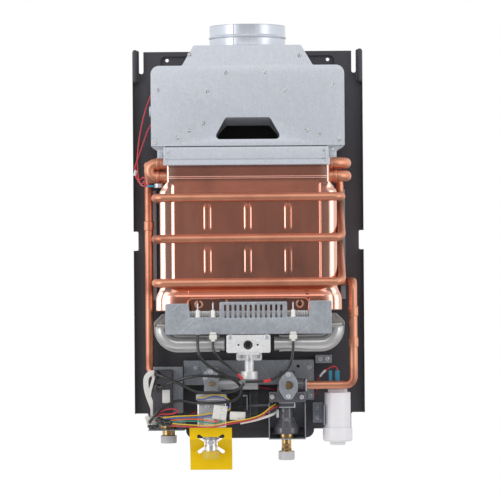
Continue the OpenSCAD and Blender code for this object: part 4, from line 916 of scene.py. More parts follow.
class HEATER_OT_hood(bpy.types.Operator):
    """Draught hood: folded box, pressed window, spot welds, skirt with its flanges, and the flue collar"""
    bl_idname = "heater.hood"
    bl_label = "Draught hood"

    def execute(self, context):
        loop = hood_outline()
        wrap = np.concatenate([loop[1:], loop[:1]])
        inner = wrap + mitres(wrap) * SHEET
        sides = [plate(np.concatenate([wrap[half], inner[half][::-1]]), HOOD_REAR, 127.3, roll=0.1)
                 for half in (wrap[:, 0] > 0, wrap[:, 0] < 0)]
        reach = np.abs(wrap[wrap[:, 1] > HOOD_TOP - 0.1, 0]).min()
        top = plate(panel(-reach, reach, HOOD_REAR, 127.3, 0.1), HOOD_TOP - SHEET, HOOD_TOP,
                    [disc(COLLAR_X, COLLAR_D, 54, 96)], 0.1, place=ABOVE)
        rear = plate(hood_outline(-0.6), HOOD_REAR, HOOD_REAR + SHEET, roll=0.2)
        piece("hood_wrap", together(*sides, top, rear), "hood_zinc", "hood_box", True)
        # The baffle inside the hood is given the painted shade of the hood's inside.
        softened("hood_baffle", 0.1, name="painted_shade_zinc")
        front = plate(hood_outline(), HOOD_FACE - SHEET, HOOD_FACE, [window_outline()], 0.35)
        dash = plate(panel(56, 62.5, -97.5, -96, 0.7), 127.9, 128.35, roll=0.3)
        piece("hood_front_sheet", together(front, dash), "hood_zinc", "hood_front", True)
        # The lip round the window carries the painted shade finish.
        piece("hood_window_lip", window_lip(), "painted_shade_lip_zinc", "hood_front")
        marks = [weld(x, HOOD_FACE, z, 3.0) for x, z in HOOD_WELDS]
        piece("hood_spot_welds", together(*marks), "weld_scorch", "hood_front")
        # Painted shade: a dark sheet inside the hood, behind the window, so the window reads dark.
        shade_sheet = plate(panel(-90, 90, -131, -60, 4), 60, 60 + SHEET, roll=0.2)
        piece("hood_inner_shade_sheet", shade_sheet, "painted_shade_zinc", "hood_box")

        walled(piece("hood_skirt_sheet", skirt_form(), "hood_zinc", "hood_skirt", True))
        trims = [apron_form()]
        for x0, x1 in ((-121.4, -118.2), (112.6, 115.8)):
            trims.append(block(x0, x1, 119.4, 127.7, -159.6, -133.4, 0.9, 3))
        for x0, x1 in ((-130.5, -122), (117.2, 127.5)):
            trims.append(block(x0, x1, 116.5, 118.5, -149.0, -133.6, 0.5))
            trims.append(block(x0 + 1, x1 - 1, 118.4, 119.2, -147.0, -141.0, 0.4))
            trims.append(block(x0 - 4, x1 + 4, 104, 126.8, -133.2, -132.4, 0.3))
        piece("hood_skirt_flanges", together(*trims), "hood_zinc", "hood_skirt")
        clinches = [weld(x, 126.9, z, r) for x, z, r in SKIRT_CLINCHES]
        piece("skirt_clinches", together(*clinches), "weld_scorch", "hood_skirt")

        collar = turned(COLLAR_PROFILE, COLLAR_X, COLLAR_D, steps=128, closed=True, r=0.3)
        piece("flue_collar_ring", collar, "collar_zinc", "flue_collar", True, smooth=40)
        seam = plate(panel(-20.4, -18.8, 13.6, 42.8, 0.3), 121.2, 121.7, roll=0.2)
        piece("flue_collar_seam", seam, "collar_zinc", "flue_collar")
        return {"FINISHED"}


# Height, half width, rear and front of the copper shell's section
SHELL_ROWS = [(-369, 134, 14, 125), (-352, 134, 14, 125), (-347, 133, 14.6, 124.4), (-341, 130, 18, 121.2),
              (-335, 127.5, 20, 118.8), (-200, 127.5, 20, 118.8), (-197, 127.5, 20, 118.5), (-190, 123, 19.6, 117.85),
              (-183, 116.8, 19.2, 117.2), (-160, 116.8, 19.2, 115), (-147, 116.8, 19.2, 115)]


def capsule(x, z, x0, z0, z1):
    """Distance from an upright segment."""
    return np.hypot(x - x0, z - np.clip(z, z0, z1))


def shell_press(x, z):
    """How far the front sheet is pressed out: six upright ribs 1.25 high with a dip along the middle of each, a panel
    raised by 2.2 between the sides and above the window, and two seams of 0.25 near the top."""
    press = 0 * x * z
    for x0 in SHELL_RIBS:
        for z0, z1 in ((-251, -217.5), (-313.5, -280)):
            gap, reach = np.abs(x - x0), smooth_step(z0 - 6, z0 + 3, z) * smooth_step(z1 + 7, z1 - 6, z)
            press = press + (1.25 * smooth_step(6.2, 2.9, gap) - 0.4 * smooth_step(2.6, 0.8, gap)) * reach
    sides = (1 - smooth_step(-112, -105.5, x) + smooth_step(101.2, 105.2, x)) * smooth_step(-182, -190, z)
    press = press + 2.2 * smooth_step(-334, -328, z) * (1 - sides)
    for z0 in (-178.6, -176.4):
        press = press + 0.25 * np.exp(-((z - z0) / 0.7) ** 2)
    return press


# Where the face ends on each side, and the last radius of its corner
SHELL_CORNERS = {-1: (118.5, 1.06), 1: (114.5, 9.6)}
SHELL_RIBS, SHELL_WINDOW = (-59, -1, 57), (-88, 86)


def shell_corner(side, limit, last, size):
    """Corner of the section from the face to the side: the normal turns 18 degrees on radius 4, then 14 on radius 33,
    and on to 90 on the last radius, all measured from where the face ends; size scales the whole corner."""
    x, d, out = 0.0, 0.0, []
    for a0, a1, radius, count in ((0, 18, 4.0, 4), (18, 32, 33.0, 7), (32, 90, last, 8)):
        t = np.radians(np.linspace(a0, a1, count + 1)[1:])
        out.append(np.stack([x + radius * (np.sin(t) - math.sin(math.radians(a0))),
                             d - radius * (math.cos(math.radians(a0)) - np.cos(t))], -1))
        x, d = out[-1][-1]
    points = np.concatenate(out) * size + [limit, 0]
    points[:, 0] *= side
    return points


def shell_form():
    """Folded copper shell: at each height the section is a rounded rectangle between the limits in SHELL_ROWS,
    and its front is moved out by shell_press. The window at the foot is left open."""
    z = np.unique(np.concatenate([np.arange(-369, -146.9, 1.65), [-351.0, -369, -147], np.arange(-180, -174, 0.4)]))
    table = np.array(SHELL_ROWS)
    half, rear, front = (np.interp(z, table[:, 0], table[:, k]) for k in (1, 2, 3))
    low, high = (limit / 126 for limit in SHELL_WINDOW)
    fine = np.unique(np.concatenate([np.linspace(-1, 1, 140), [low, high],
                                     *[np.linspace(c - 6, c + 6, 15) / 119 for c in SHELL_RIBS],
                                     *[np.linspace(c - 5, c + 5, 15) / 116.5 for c in (-107.9, 102.6)]]))
    corner, turn, rows = 9.0, np.linspace(0, math.pi / 2, 8)[1:-1], []
    for k, height in enumerate(z):
        reach, r, f = half[k], rear[k], front[k]
        size = 1 - 0.72 * smooth_step(-192, -184, height)
        ends = {side: reach - (127.5 - limit) * size for side, (limit, _) in SHELL_CORNERS.items()}
        x = np.where(fine < 0, fine * ends[-1], fine * ends[1])
        if height < -340:
            x = np.where(np.abs(fine - low) < 1e-9, SHELL_WINDOW[0], x)
            x = np.where(np.abs(fine - high) < 1e-9, SHELL_WINDOW[1], x)
        flare = smooth_step(-334, -346, height)
        back_off = flare * np.maximum(0, np.abs(x) - 98) ** 2 / 90
        face = np.stack([x[::-1], f + (shell_press(x, height) - back_off)[::-1]], -1)
        left = shell_corner(-1, ends[-1], SHELL_CORNERS[-1][1], size) + [0, f - back_off[0]]
        right = (shell_corner(1, ends[1], SHELL_CORNERS[1][1], size) + [0, f - back_off[-1]])[::-1]
        side = np.linspace(left[-1, 1] - 0.4, r + corner, 16)
        left_side = np.stack([-reach - 0.7 * side_press(side, height), side], -1)
        inner = reach - corner
        low_left = np.stack([-inner - corner * np.cos(turn), r + corner - corner * np.sin(turn)], -1)
        back = np.stack([np.linspace(-inner, inner, 16), np.full(16, r)], -1)
        low_right = np.stack([inner + corner * np.sin(turn), r + corner - corner * np.cos(turn)], -1)
        side = np.linspace(right[0, 1] - 0.4, r + corner, 16)
        right_side = np.stack([reach + 0.7 * side_press(side[::-1], height), side[::-1]], -1)
        ring = np.concatenate([face, left, left_side, low_left, back, low_right, right_side, right])
        rows.append(spot(ring[:, 0], ring[:, 1], height))
    points, faces = lattice(np.stack(rows))
    centre = np.array([points[f].mean(0) for f in faces])
    window = (np.abs(centre[:, 0] + 1) < 86.5) & (centre[:, 1] < -119) & (centre[:, 2] < -351)
    return points, [f for f, gone in zip(faces, window) if not gone]


def side_press(d, z):
    """Two upright ribs in each side sheet."""
    press = 0 * d
    for d0 in (48, 90):
        for z0, z1 in ((-252, -222), (-312, -284)):
            press = press + smooth_step(4.6, 3.0, capsule(d, z, d0, z0, z1))
    return press


PIPE_R, PIPE_BEND = 6.0, 12
# Corners of the three water pipes (x, d, z)
COIL = [(126, 13.5, -329), (-133.8, 13.5, -329), (-133.8, 125, -328.5), (133.8, 125, -328), (133.8, 13.5, -267),
        (-133.8, 13.5, -266.3), (-133.8, 125, -265.2), (133.8, 125, -264.5), (133.8, 13.5, -207.5),
        (-133.8, 13.5, -206.8), (-133.8, 125, -206), (133.8, 125, -205.4), (133.8, 41, -205), (133.8, 41, -175.3),
        (121.5, 41, -175.3)]
HOT = [(-121.5, 55, -156.4), (-147, 55, -156.4), (-147, 24, -158.4), (-147, 24, -458), (-119.5, 38, -486),
       (-119.5, 38, -533.5)]
COLD = [(81.3, 80, -478.5), (151, 80, -478.5), (151, 80, -329), (151, 13.5, -329), (127, 13.5, -329)]


def run(points):
    """Points (x, d, z) as places."""
    return spot(*np.array(points, float).T)


def bent_pipe(points):
    """Pipe of radius PIPE_R through straight runs and quarter bends, its runs cut into steps of about 14 mm."""
    path = bent(run(points), PIPE_BEND, 8)
    dense = [path[:1]]
    for start, end in zip(path, path[1:]):
        n = max(1, int(np.linalg.norm(end - start) / 14))
        dense.append(start + (end - start) * (np.arange(1, n + 1) / n)[:, None])
    return tube(np.concatenate(dense), PIPE_R, 20)


def sleeve(x, d, z, reach, radius=7.2, axis="z", bore=PIPE_R):
    """Brazed socket: a short sleeve whose ends slope down to the pipe."""
    profile = [(bore, 0), (bore + 0.7, 0.1), (radius, 1.0), (radius, reach - 1.0), (bore + 0.7, reach - 0.1),
               (bore, reach)]
    return turned(profile, x, d, z, axis, 40, r=0.5)


class HEATER_OT_heat_exchanger(bpy.types.Operator):
    """Copper heat exchanger: pressed shell, fins, fin tubes with their return bends, wrapped coil and both pipes"""
    bl_idname = "heater.heat_exchanger"
    bl_label = "Heat exchanger"

    def execute(self, context):
        walled(piece("shell_sheet", shell_form(), "copper_sheet", "copper_shell", True, smooth=50))
        left, right = SHELL_WINDOW
        line = rounded([(left, -369, 0), (right, -369, 0), (right, -351, 8), (left, -351, 8)], 6)
        path = FRONT(*np.roll(line, -1, 0).T, 125.4)
        piece("shell_window_lip", tube(path, 1.5, 12), "copper_sheet", "copper_shell")

        piece("coil_pipe", bent_pipe(COIL), "copper_pipe", "water_coil", True, smooth=60)
        hot = together(bent_pipe(HOT), sleeve(-147, 24, -252, 14))
        piece("hot_water_pipe", hot, "copper_pipe", "hot_pipe", True, smooth=60)
        cold = together(bent_pipe(COLD), sleeve(151, 80, -379, 14), sleeve(151, 80, -424, 14))
        piece("cold_water_pipe", cold, "copper_pipe", "cold_pipe", True, smooth=60)

        tubes = []
        for x0, x1, d, z in ((-129, 121, 41, -175.3), (-129, 128.5, 68, -175.3), (-133, 128.5, 95, -175.3),
                             (-121, 122, 55, -156.4), (-133, 122, 95, -156.4)):
            tubes.append(rod(x0, d, z, x1 - x0, 8, "x", 0.3, 40))
            tubes.append(sleeve(x0 - 0.2, d, z, 5.4, 9.2, "x", 7.9))
            tubes.append(sleeve(x1 - 5.2, d, z, 5.4, 9.2, "x", 7.9))
        tubes.append(sleeve(120.8, 41, -175.3, 3.4, 9.1, "x"))
        tubes.append(sleeve(-124.2, 55, -156.4, 3.4, 9.1, "x"))
        piece("fin_tube_runs", together(*tubes), "copper_pipe", "fin_tubes", True, smooth=50)

        arc = np.linspace(-math.pi / 2, math.pi / 2, 19)
        across, along = np.cos(arc), np.sin(arc)
        bends = [tube(spot(x + half * across, d + abs(half) * along, z), 8, 24) for x, d, z, half in (
            (-129, 54.5, -175.3, -13.5), (128.5, 81.5, -175.3, 13.5), (122, 75, -156.4, 20))]
        bends.append(tube(spot(-133 - 9.45 * across, 95, -165.85 + 9.45 * along), 8, 24))
        piece("fin_tube_bends", together(*bends), "copper_pipe", "tube_bends", True, smooth=60)
        softened("fin_pack", 0)
        return {"FINISHED"}


MIX_LEVEL, MIX_DEPTH, MIX_X, MIX_BEND = -416.5, 109, 125.2, 22.5


def mixing_tube_form():
    """Mixing tube: a throat that opens into a bent barrel, r(s) read from a table along the path, with a pressed seam
    flange in its own plane that stands 2.4 mm out of the barrel, 12.2 mm from its middle at most."""
    bend = np.radians(np.linspace(0, 90, 15))
    level = [(x, MIX_DEPTH, MIX_LEVEL) for x in (-36, -41, -50, -68, -86)]
    quarter = [(MIX_BEND - MIX_X - MIX_BEND * math.sin(t), MIX_DEPTH, -394 - MIX_BEND * math.cos(t)) for t in bend]
    path = run([*level, *quarter, (-MIX_X, MIX_DEPTH, -392.1)])
    radius = np.array([10.8, 9.8, 9.0, 9.2, 9.8] + [9.8] * len(bend) + [10.4])
    s = distances(path)
    fine = np.linspace(0, s[-1], 60)
    dense = resampled(path, s, fine)
    body = tube(dense, np.interp(fine, s, radius) - 0.02, 36, wall=0.8)
    outer = np.minimum(np.interp(fine, s, radius) + 2.4, 12.2)[:, None] * np.cross(frames(dense)[0], [0, -1, 0])
    ring = np.stack([dense + a * outer + [0, b * 0.55, 0] for a, b in ((1, -1), (1, 1), (-1, 1), (-1, -1))], 1)
    return together(body, lattice(ring[4:], caps=True))


COMB_X, COMB_PITCH, COMB_SLOT = 6, 7.3, 3.4
EYELETS, EYELET_Z = (-72.4, 72.9), -359.7
PLUGS, PLUG_Z = (-15.6, 11.9), -418
ELECTRODES, ELECTRODE_D = (-74, -52, 63), 128.2
ELECTRODE_PROFILE = [(0, -403), (2.3, -403), (2.9, -402.2), (2.9, -392), (2.9, -381), (3.7, -379.8), (3.7, -376.4),
                     (3.2, -375.2), (3.2, -369.0), (2.7, -367.4), (0, -367.2)]


def guard_form():
    """Guard plate: one flat outline with its comb of twelve slots, its edges rolled, and the folded foot."""
    half = 5.5 * COMB_PITCH + COMB_SLOT / 2 + 6.65
    outer = rounded([(-120.5, -402.4, 1), (118.5, -402.4, 1), (118.5, -355, 2), (86, -355, 1.5), (86, -377.8, 1),
                     (COMB_X + half, -377.8, 1), (COMB_X + half, -356, 2), (COMB_X - half, -356, 2),
                     (COMB_X - half, -377.8, 1), (-85, -377.8, 1), (-87, -358, 1.5), (-120.5, -358, 2)], 4)
    middles = COMB_X + (np.arange(12) - 5.5) * COMB_PITCH
    slots = [panel(x - COMB_SLOT / 2, x + COMB_SLOT / 2, -379, -360, COMB_SLOT / 2 - 0.1) for x in middles]
    face = plate(outer, 131.2, 132, slots, 0.3)
    holes = [disc(x, ELECTRODE_D, 3.2, 20) for x in ELECTRODES]
    foot = plate(panel(-118, 116, 122, 131.4, 0.5), -391, -390.2, holes, 0.2, place=ABOVE)
    return together(face, foot)


class HEATER_OT_burner(bpy.types.Operator):
    """Burner: folded tray, slotted bars, bent mixing tubes with seam flanges, guard plate with a comb, electrodes"""
    bl_idname = "heater.burner"
    bl_label = "Burner"

    def execute(self, context):
        outline = rounded([(-137, -392, 1.5), (137, -392, 1.5), (137, -385, 2), (125, -373, 2), (-125, -373, 2),
                           (-137, -385, 2)], 4)
        edge = [(0.6, 34), (0, 34.6), (0, 121.4), (0.6, 122), (3.4, 122), (4.0, 121.6), (4.4, 121.0)]
        ring = rim(outline, edge, closed=False)
        front = plate(inset(facing(outline), 4.2), 120.4, 121.2, roll=0.2)
        rear = plate(inset(facing(outline), 0.5), 34, 34.8, roll=0.2)
        line = rim(panel(-128, 128, -389, -384.4, 1.8), [(0, 121.0), (0.5, 121.9), (1.4, 121.9), (1.9, 121.0)])
        piece("burner_tray_sheet", together(ring, front, rear, line), "stainless", "burner_tray", True)
        softened("burner_bars", 0.25)

        half = mixing_tube_form()
        piece("mixing_tube_pair", together(half, mirrored(half)), "pressed_steel", "mixing_tubes", True, smooth=50)
        piece("guard_plate_sheet", guard_form(), "scratched_zinc", "guard_plate", True)

        rods, tips, d = [], [], ELECTRODE_D
        for x in ELECTRODES:
            rods.append(turned(ELECTRODE_PROFILE, x, d, steps=28, r=0.3))
            tips.append(rod(x, d, -368, 10, 1.1, "z", 0.2, 16))
            tips.append(tube(run([(x, d, -359), (x + 0.2, d - 1, -357.6), (x + 0.4, d - 4, -356.8),
                                  (x + 0.4, d - 7, -356.6)]), 1.0, 12))
            tips.append(block(x - 4.6, x + 4.6, d - 1.2, d + 0.9, -384.6, -383.4, 0.4))
            tips.append(block(x - 5.0, x - 3.8, d - 3, d + 0.9, -384.6, -377.5, 0.4))
            tips.append(block(x + 3.8, x + 5.0, d - 3, d + 0.9, -384.6, -379.5, 0.4))
        piece("electrode_insulators", together(*rods), "ceramic", "electrodes", True)
        piece("electrode_tips", together(*tips), "screw_steel", "electrodes")

        # Painted shade: a dark copper sheet just behind the burner window, so the inside of the chamber reads dark.
        inner = plate(panel(-92, 90, -368.6, -345, 1), 122.4, 123.2, roll=0.2)
        strip = block(-33.4, -30.6, 123, 124.1, -368.4, -347, 0.4)
        lip = [(3.0, 0), (6.2, 0), (6.0, 0.7), (5.0, 1.1), (3.6, 0.9), (3.0, 0.4)]
        eyelets = [turned(lip, x, 123, EYELET_Z, "y", 40, closed=True, r=0.25) for x in EYELETS]
        piece("burner_inner_sheet", inner, "painted_shade_copper", "copper_shell", smooth=40)
        piece("burner_inner_trim", together(strip, *eyelets), "copper_pipe", "copper_shell", smooth=40)
        pins = [together(dome(x, 123, EYELET_Z, 3.1, 1.7), block(x - 1, x + 1, 123, 124.8, -357.5, -353.4, 0.5))
                for x in EYELETS]
        piece("burner_inner_pins", together(*pins), "black_plastic", "copper_shell")
        softened("manifold", 0.5, name="bright_zinc")
        softened("injectors", 0.3)
        across = np.arange(-92, 90.1, 0.45)
        teeth = ribbon(np.stack([across, 123.4 + 0.7 * np.sin(across * 2 * math.pi / 3.6)], -1), 0.4)
        piece("burner_port_teeth", plate(teeth, -379.5, -369.0, roll=0.1, place=ABOVE), "pressed_steel", "burner_bars")
        cover = plate(panel(-33, 30.3, -429.4, -403.4, 2.4), 128.8, 130,
                      [disc(-2, PLUG_Z, 5.5), *[disc(x, PLUG_Z, 1.5, 16) for x in PLUGS]], 0.3)
        pad = [(-0.3, 129.9), (0.2, 130.5), (0.9, 130.6), (1.3, 130.3), (1.7, 130.0)]
        extras = [rim(panel(x - 3.5, x + 3.5, -413, -409, 1.9), pad) for x in (-12.4, 12.7)]
        extras.append(plate(panel(-18.4, 17.6, -441, -429, 2.5), 110, 111.1, roll=0.3))
        for x in (-27.2, 25.1):
            extras.append(rim(disc(x, -406.8, 4.2, 24), [(-0.3, 129.9), (0.2, 130.3), (0.8, 130.4), (1.2, 130.0)]))
        piece("injector_cover_plate", together(cover, *extras), "bright_zinc", "injector_cover", True)
        # Painted shade: black rubber discs fill the holes of the injector cover, with a black ring round the big one,
        # so that the holes read dark.
        hole_ring = [(3.6, 0), (6.2, 0), (6.6, 0.6), (6.2, 1.2), (5.0, 1.5), (3.9, 1.1)]
        hole_shade = [turned(hole_ring, -2, 129.6, PLUG_Z, "y", 40, closed=True, r=0.3),
                   rod(-2, 128.2, PLUG_Z, 0.8, 5.2, "y", 0.2)]
        for x in PLUGS:
            hole_shade.append(rod(x, 128, PLUG_Z, 1.2, 1.5, "y", 0.2, 16))
        piece("injector_cover_hole_shade", together(*hole_shade), "black_rubber", "injector_cover")
        return {"FINISHED"}


INLET_X, INLET_D = 53, 70
# Middles of the two ignition outlets (x, z), and the pan heads (x, z, d)
SPARK_OUTLETS = ((-134, -461), (-133, -480))
SCREWS = [(-79.3, -454.9, 32.4), (88, -454.7, 31.2), (88.8, -497.5, 31.2), (104, -443, 30), (114, -443, 30),
          (-56, -458, 101.2), (-64, -466, 101.2), (-61, -507, 102), (32.6, -494.8, 96), (75, -495.2, 96),
          (55.7, -462, 117.2), (55.7, -493, 117.2), (-11.5, -435.4, 111), (13, -435.4, 111), (-27.2, -407, 130),
          (25.1, -407, 130), (100, -516, 6.2), (100, -530, 6.2), (-138, -534, 6.2), (-102, -534, 6.2)]


def label(x0, x1, z0, z1, d):
    """Blank sticker with rounded corners that stands 0.12 mm out of the face at depth d."""
    return plate(panel(x0, x1, z0, z1, 0.8), d - 0.1, d + 0.12, roll=0.05)


class HEATER_OT_valves(bpy.types.Operator):
    """Gas valve, water valve, switch and the folded brackets that hold them, with their screws"""
    bl_idname = "heater.valves"
    bl_label = "Valves and brackets"

    def execute(self, context):
        for node, bevel in (("back_plate", 0.25), ("support_brackets", 0.3), ("valve_bracket", 0.3),
                            ("gas_valve_body", 0.8), ("gas_spindle", 0.3),
                            ("switch_lever", 0.25), ("retaining_clip", 0.15), ("flow_sensor", 0.6),
                            ("connection_brackets", 0.3), ("thermostats", 0.5), ("water_spindle", 0.3)):
            softened(node, bevel)
        # The switch bracket takes the darker painted-shade copy of the galvanised finish.
        softened("switch_bracket", 0.25, name="painted_shade_galvanised")
        ears = [block(*sorted((s * 162.2, s * 169.8)), 11.0, 18.8, -34, 15, 3.7, 5) for s in (-1, 1)]
        piece("back_plate_ears", together(*ears), "dark_paint", "back_plate")

        cover = [block(-76, -34, 84, 102, -538, -499, 2.2, 4)]
        cover.append(plate(panel(-78, -33.8, -499.5, -491, 1.5), 84, 85.2, roll=0.3))
        cover.append(rim(panel(-72, -38, -534, -503, 2.0), [(-0.6, 101.8), (-0.2, 102.15), (0.3, 102.2), (0.8, 101.8)]))
        piece("solenoid_cover_box", together(*cover), "shiny_zinc", "solenoid_cover", True)
        piece("solenoid_label", label(-67, -51.5, -538, -524, 102.1), "white_nylon", "solenoid_cover")

        switch = [block(-31, -10, 57, 75, -520, -491, 1.0, 3), block(-29.5, -11.5, 74.5, 75.6, -518, -509, 0.4)]
        switch.append(rod(-10.5, 66, -508, 2.4, 1.2, "x", 0.4, 20))
        switch.append(rod(-26.5, 75, -496.5, 1.2, 1.9, "y", 0.3, 20))
        piece("microswitch_case", together(*switch), "black_plastic", "microswitch", True)

        pin = [(0, 0), (1.2, 0.15), (1.8, 0.9), (2, 2), (2, 49.1), (0, 49.1)]
        piece("push_rod_steel", turned(pin, -3.1, 66, -508, "x", 28, r=0.3), "painted_shade_galvanised", "push_rod", True)

        barrel = [(0, 0), (13, 0), (13, 66), (12.4, 68), (0, 68)]
        branch = [(0, 0), (10, 0), (10, 20), (8.9, 21), (8.9, 22.5), (10, 23.5), (10, 25), (0, 25)]
        skirt = [(0, -549.5), (19, -549.5), (19, -541), (18.2, -540), (12.5, -531), (10.9, -526), (10.7, -520),
                 (10.7, -511), (0, -511)]
        body = [turned(barrel, 56, 48, -477, "y", 56, r=0.8),
                rod(55.7, 90, -460.8, 26, 4.6, "y", 0.4), rod(55.7, 90, -493.6, 26, 4.6, "y", 0.4),
                turned(branch, 56, 80, -478.5, "x", 44, r=0.5),
                block(28, 81, 84, 96, -502.5, -487.5, 1.6, 3), block(40, 70, 50, 95, -503, -480, 1.6, 3),
                block(42, 64, 56, 84, -512, -502, 1.2, 3), block(44, 68, 31.2, 51, -479, -460, 1.2, 3),
                turned(skirt, INLET_X, INLET_D, steps=64, r=1.0)]
        for z in (-546.6, -543.4):
            bead = [(18.8, z - 0.6), (19.3, z - 0.4), (19.3, z + 0.4), (18.8, z + 0.6)]
            body.append(turned(bead, INLET_X, INLET_D, steps=64, closed=True, r=0.2))
        for t in np.radians(np.arange(8) * 45 + 22.5):
            body.append(tube(run([(INLET_X + r * math.cos(t), INLET_D + r * math.sin(t), z)
                                  for r, z in ((10.9, -526), (12.6, -531.5), (18.0, -540.6))]), 0.8, 8))
        piece("water_valve_case", together(*body), "smoked_plastic", "water_valve_body", True, smooth=40)

        hull = rounded([(55.7 + u, -477.5 + v, r) for u, v, r in (
            (-5.2, 20.1, 4.2), (5.2, 20.1, 4.2), (13.6, 6.2, 8), (13.6, -6.2, 8), (5.2, -20.1, 4.2), (-5.2, -20.1, 4.2),
            (-13.6, -6.2, 8), (-13.6, 6.2, 8))], 6)
        t = np.radians(np.arange(-124, 125, 8))
        hole = np.stack([56.3 + 6 * np.cos(t), -477 + 6 * np.sin(t)], -1)
        piece("water_valve_flange", plate(hull, 116, 117.2, [hole], 0.3), "galvanised", "water_valve_plate", True)

        star = rounded([(-69, -463, 3), (-60, -453, 3), (-48, -455, 3), (-44, -468, 2), (-48.5, -485.5, 2),
                        (-63, -485.5, 2)], 5)
        piece("gas_spindle_flange", plate(star, 100, 101.2, [disc(-54, -475, 4, 32)], 0.3), "galvanised",
              "gas_spindle_plate", True)

        box = [block(-141, -112, 50, 84, -522, -456, 2.2, 4),
               *[rod(x, 84, z, 4, 4, "y", 0.5) for x, z in SPARK_OUTLETS],
               rim(panel(-138.5, -114.5, -519.5, -458.5, 1.5), [(-0.4, 83.8), (0, 84.4), (0.5, 84.4), (0.9, 83.8)])]
        piece("spark_box_case", together(*box), "dark_paint", "igniter_box", True)
        piece("spark_box_label", label(-127, -116, -503, -484, 84.0), "white_nylon", "igniter_box")

        heads = [screw(x, d, z, 3.3, 2.2, 37 * k + 12) for k, (x, z, d) in enumerate(SCREWS)]
        heads.append(screw(-0.2, 112.2, -440, 2.8, 1.6, 5, "one"))
        heads.append(screw(GAS_X, 83, -561.5, 3.8, 2.5, 8, "one"))
        piece("screw_heads", together(*heads), "screw_steel", "screws", True, smooth=40)
        return {"FINISHED"}


THREAD_R, THREAD_PITCH, THREAD_DEPTH = 10.45, 1.81, 0.75
OUTLET_X, OUTLET_D, GAS_X, GAS_D = -119.5, 38, -57, 70


def threaded(x, d, low, high, bore):
    """Half-inch pipe thread: the radius falls and rises by THREAD_DEPTH (0.5 - 0.5 cos 2 pi p)^0.8, where the phase p
    is the height in pitches plus angle / 2 pi; it fades out over one pitch at both ends."""
    rows, t = int((high - low) / THREAD_PITCH * 8) + 1, np.arange(48) * 2 * math.pi / 48
    z = np.linspace(low, high, rows)[:, None]
    phase = ((z - low) / THREAD_PITCH + t / (2 * math.pi)) % 1
    fade = smooth_step(low, low + THREAD_PITCH, z) * smooth_step(high, high - THREAD_PITCH, z)
    cut = THREAD_DEPTH * (0.5 - 0.5 * np.cos(2 * math.pi * phase)) ** 0.8
    outer = THREAD_R - cut * fade - 0.3 * (1 - fade)
    wall = spot(x + outer * np.cos(t), d + outer * np.sin(t), z + 0 * t)
    ends = [spot(x + bore * np.cos(t), d + bore * np.sin(t), h)[None] for h in (high, low)]
    return lattice(np.concatenate([wall, *ends]), along=True)


def dust_cap(x, d, top, floor, extra=0.0):
    """Push-on cap: rounded cup whose outer wall carries 28 upright ribs, the radius moved by 0.09 cos 28 t."""
    bore, outer = 10.75, 11.75 + extra
    profile = [(0, floor - 1.2), (outer - 0.9, floor - 1.2), (outer, floor - 0.3), (outer, top - 1.4),
               (outer + 0.15, top - 1.0), (outer + 0.15, top - 0.1), (outer - 0.1, top), (bore, top), (bore, floor),
               (0, floor)]

    def ribs(t, z):
        return 0.09 * np.cos(28 * t) * smooth_step(floor, floor + 1.5, z) * smooth_step(top - 1.2, top - 2.2, z)

    return turned(profile, x, d, steps=168, r=0.5, wave=ribs)


class HEATER_OT_connections(bpy.types.Operator):
    """Brass and steel pipe connections with their threads, drain screw, dust caps and the folded gas tag"""
    bl_idname = "heater.connections"
    bl_label = "Connections"

    def execute(self, context):
        neck = [(5, -574.6), (7, -574.6), (7, -573.4), (7.7, -572.6), (7.7, -571.6), (7, -570.8), (7, -556.2),
                (7.4, -555.6), (12, -555.5), (12, -549.5), (6.8, -549.5), (6.8, -540), (5, -540)]
        drain_seat = [(0, 0), (5.5, 0), (5.5, 10.8), (4.9, 12), (3.4, 12.1), (0, 12.1)]
        inlet = [threaded(INLET_X, INLET_D, -586, -574.5, 5),
                 turned(neck, INLET_X, INLET_D, steps=64, closed=True, r=0.5),
                 turned(drain_seat, INLET_X, INLET_D, -568, "y", 48, r=0.4)]
        piece("inlet_union", together(*inlet), "brass", "inlet_fitting", True, smooth=40)
        drain = [screw(53, 82.3, -568, 4.5, 3.4, 0, "one"), rod(53, 78, -568, 5, 2, "y", 0.2, 24)]
        piece("drain_plug", together(*drain), "brass", "drain_screw", True, smooth=40)

        neck = [(5, -553.1), (9.9, -553.1), (9.2, -552), (9.2, -543.6), (9.6, -542.8), (11.6, -542.6), (11.6, -536.2),
                (9, -535), (9, -526.6), (8.6, -526), (6, -526), (6, -534), (5, -534)]
        outlet = [threaded(OUTLET_X, OUTLET_D, -563, -553, 5),
                  turned(neck, OUTLET_X, OUTLET_D, steps=64, closed=True, r=0.5)]
        piece("outlet_union", together(*outlet), "brass", "outlet_fitting", True, smooth=40)

        neck = [(6, -573.4), (9.9, -573.2), (9.3, -572.6), (9.3, -566.7), (8.4, -566.1), (8.3, -562), (9.3, -561.5),
                (9.5, -561.2), (9.5, -557), (6, -557)]
        test_point = [(0, 0), (4.6, 0), (4.6, 12.4), (4.2, 13), (0, 13)]
        gas = [threaded(GAS_X, GAS_D, -584, -573.2, 6), turned(neck, GAS_X, GAS_D, steps=64, closed=True, r=0.4),
               turned(test_point, GAS_X, GAS_D, -561.5, "y", 40, r=0.3)]
        piece("gas_union", together(*gas), "shiny_zinc", "gas_inlet", True, smooth=40)

        caps = (("inlet", INLET_X, INLET_D, -575.2, -586.3, 0.0, "cap_plastic"),
                ("outlet", OUTLET_X, OUTLET_D, -553.4, -563.3, 0.0, "cap_plastic"),
                ("gas", GAS_X, GAS_D, -573.6, -584.3, 0.6, "yellow_plastic"))
        for name, x, d, top, floor, extra, finish in caps:
            piece(name + "_dust_cap", dust_cap(x, d, top, floor, extra), finish, name + "_cap", True, smooth=45)
        softened("gas_tag", 0.12)
        return {"FINISHED"}


BATTERY_X, BATTERY_D = 128, 62


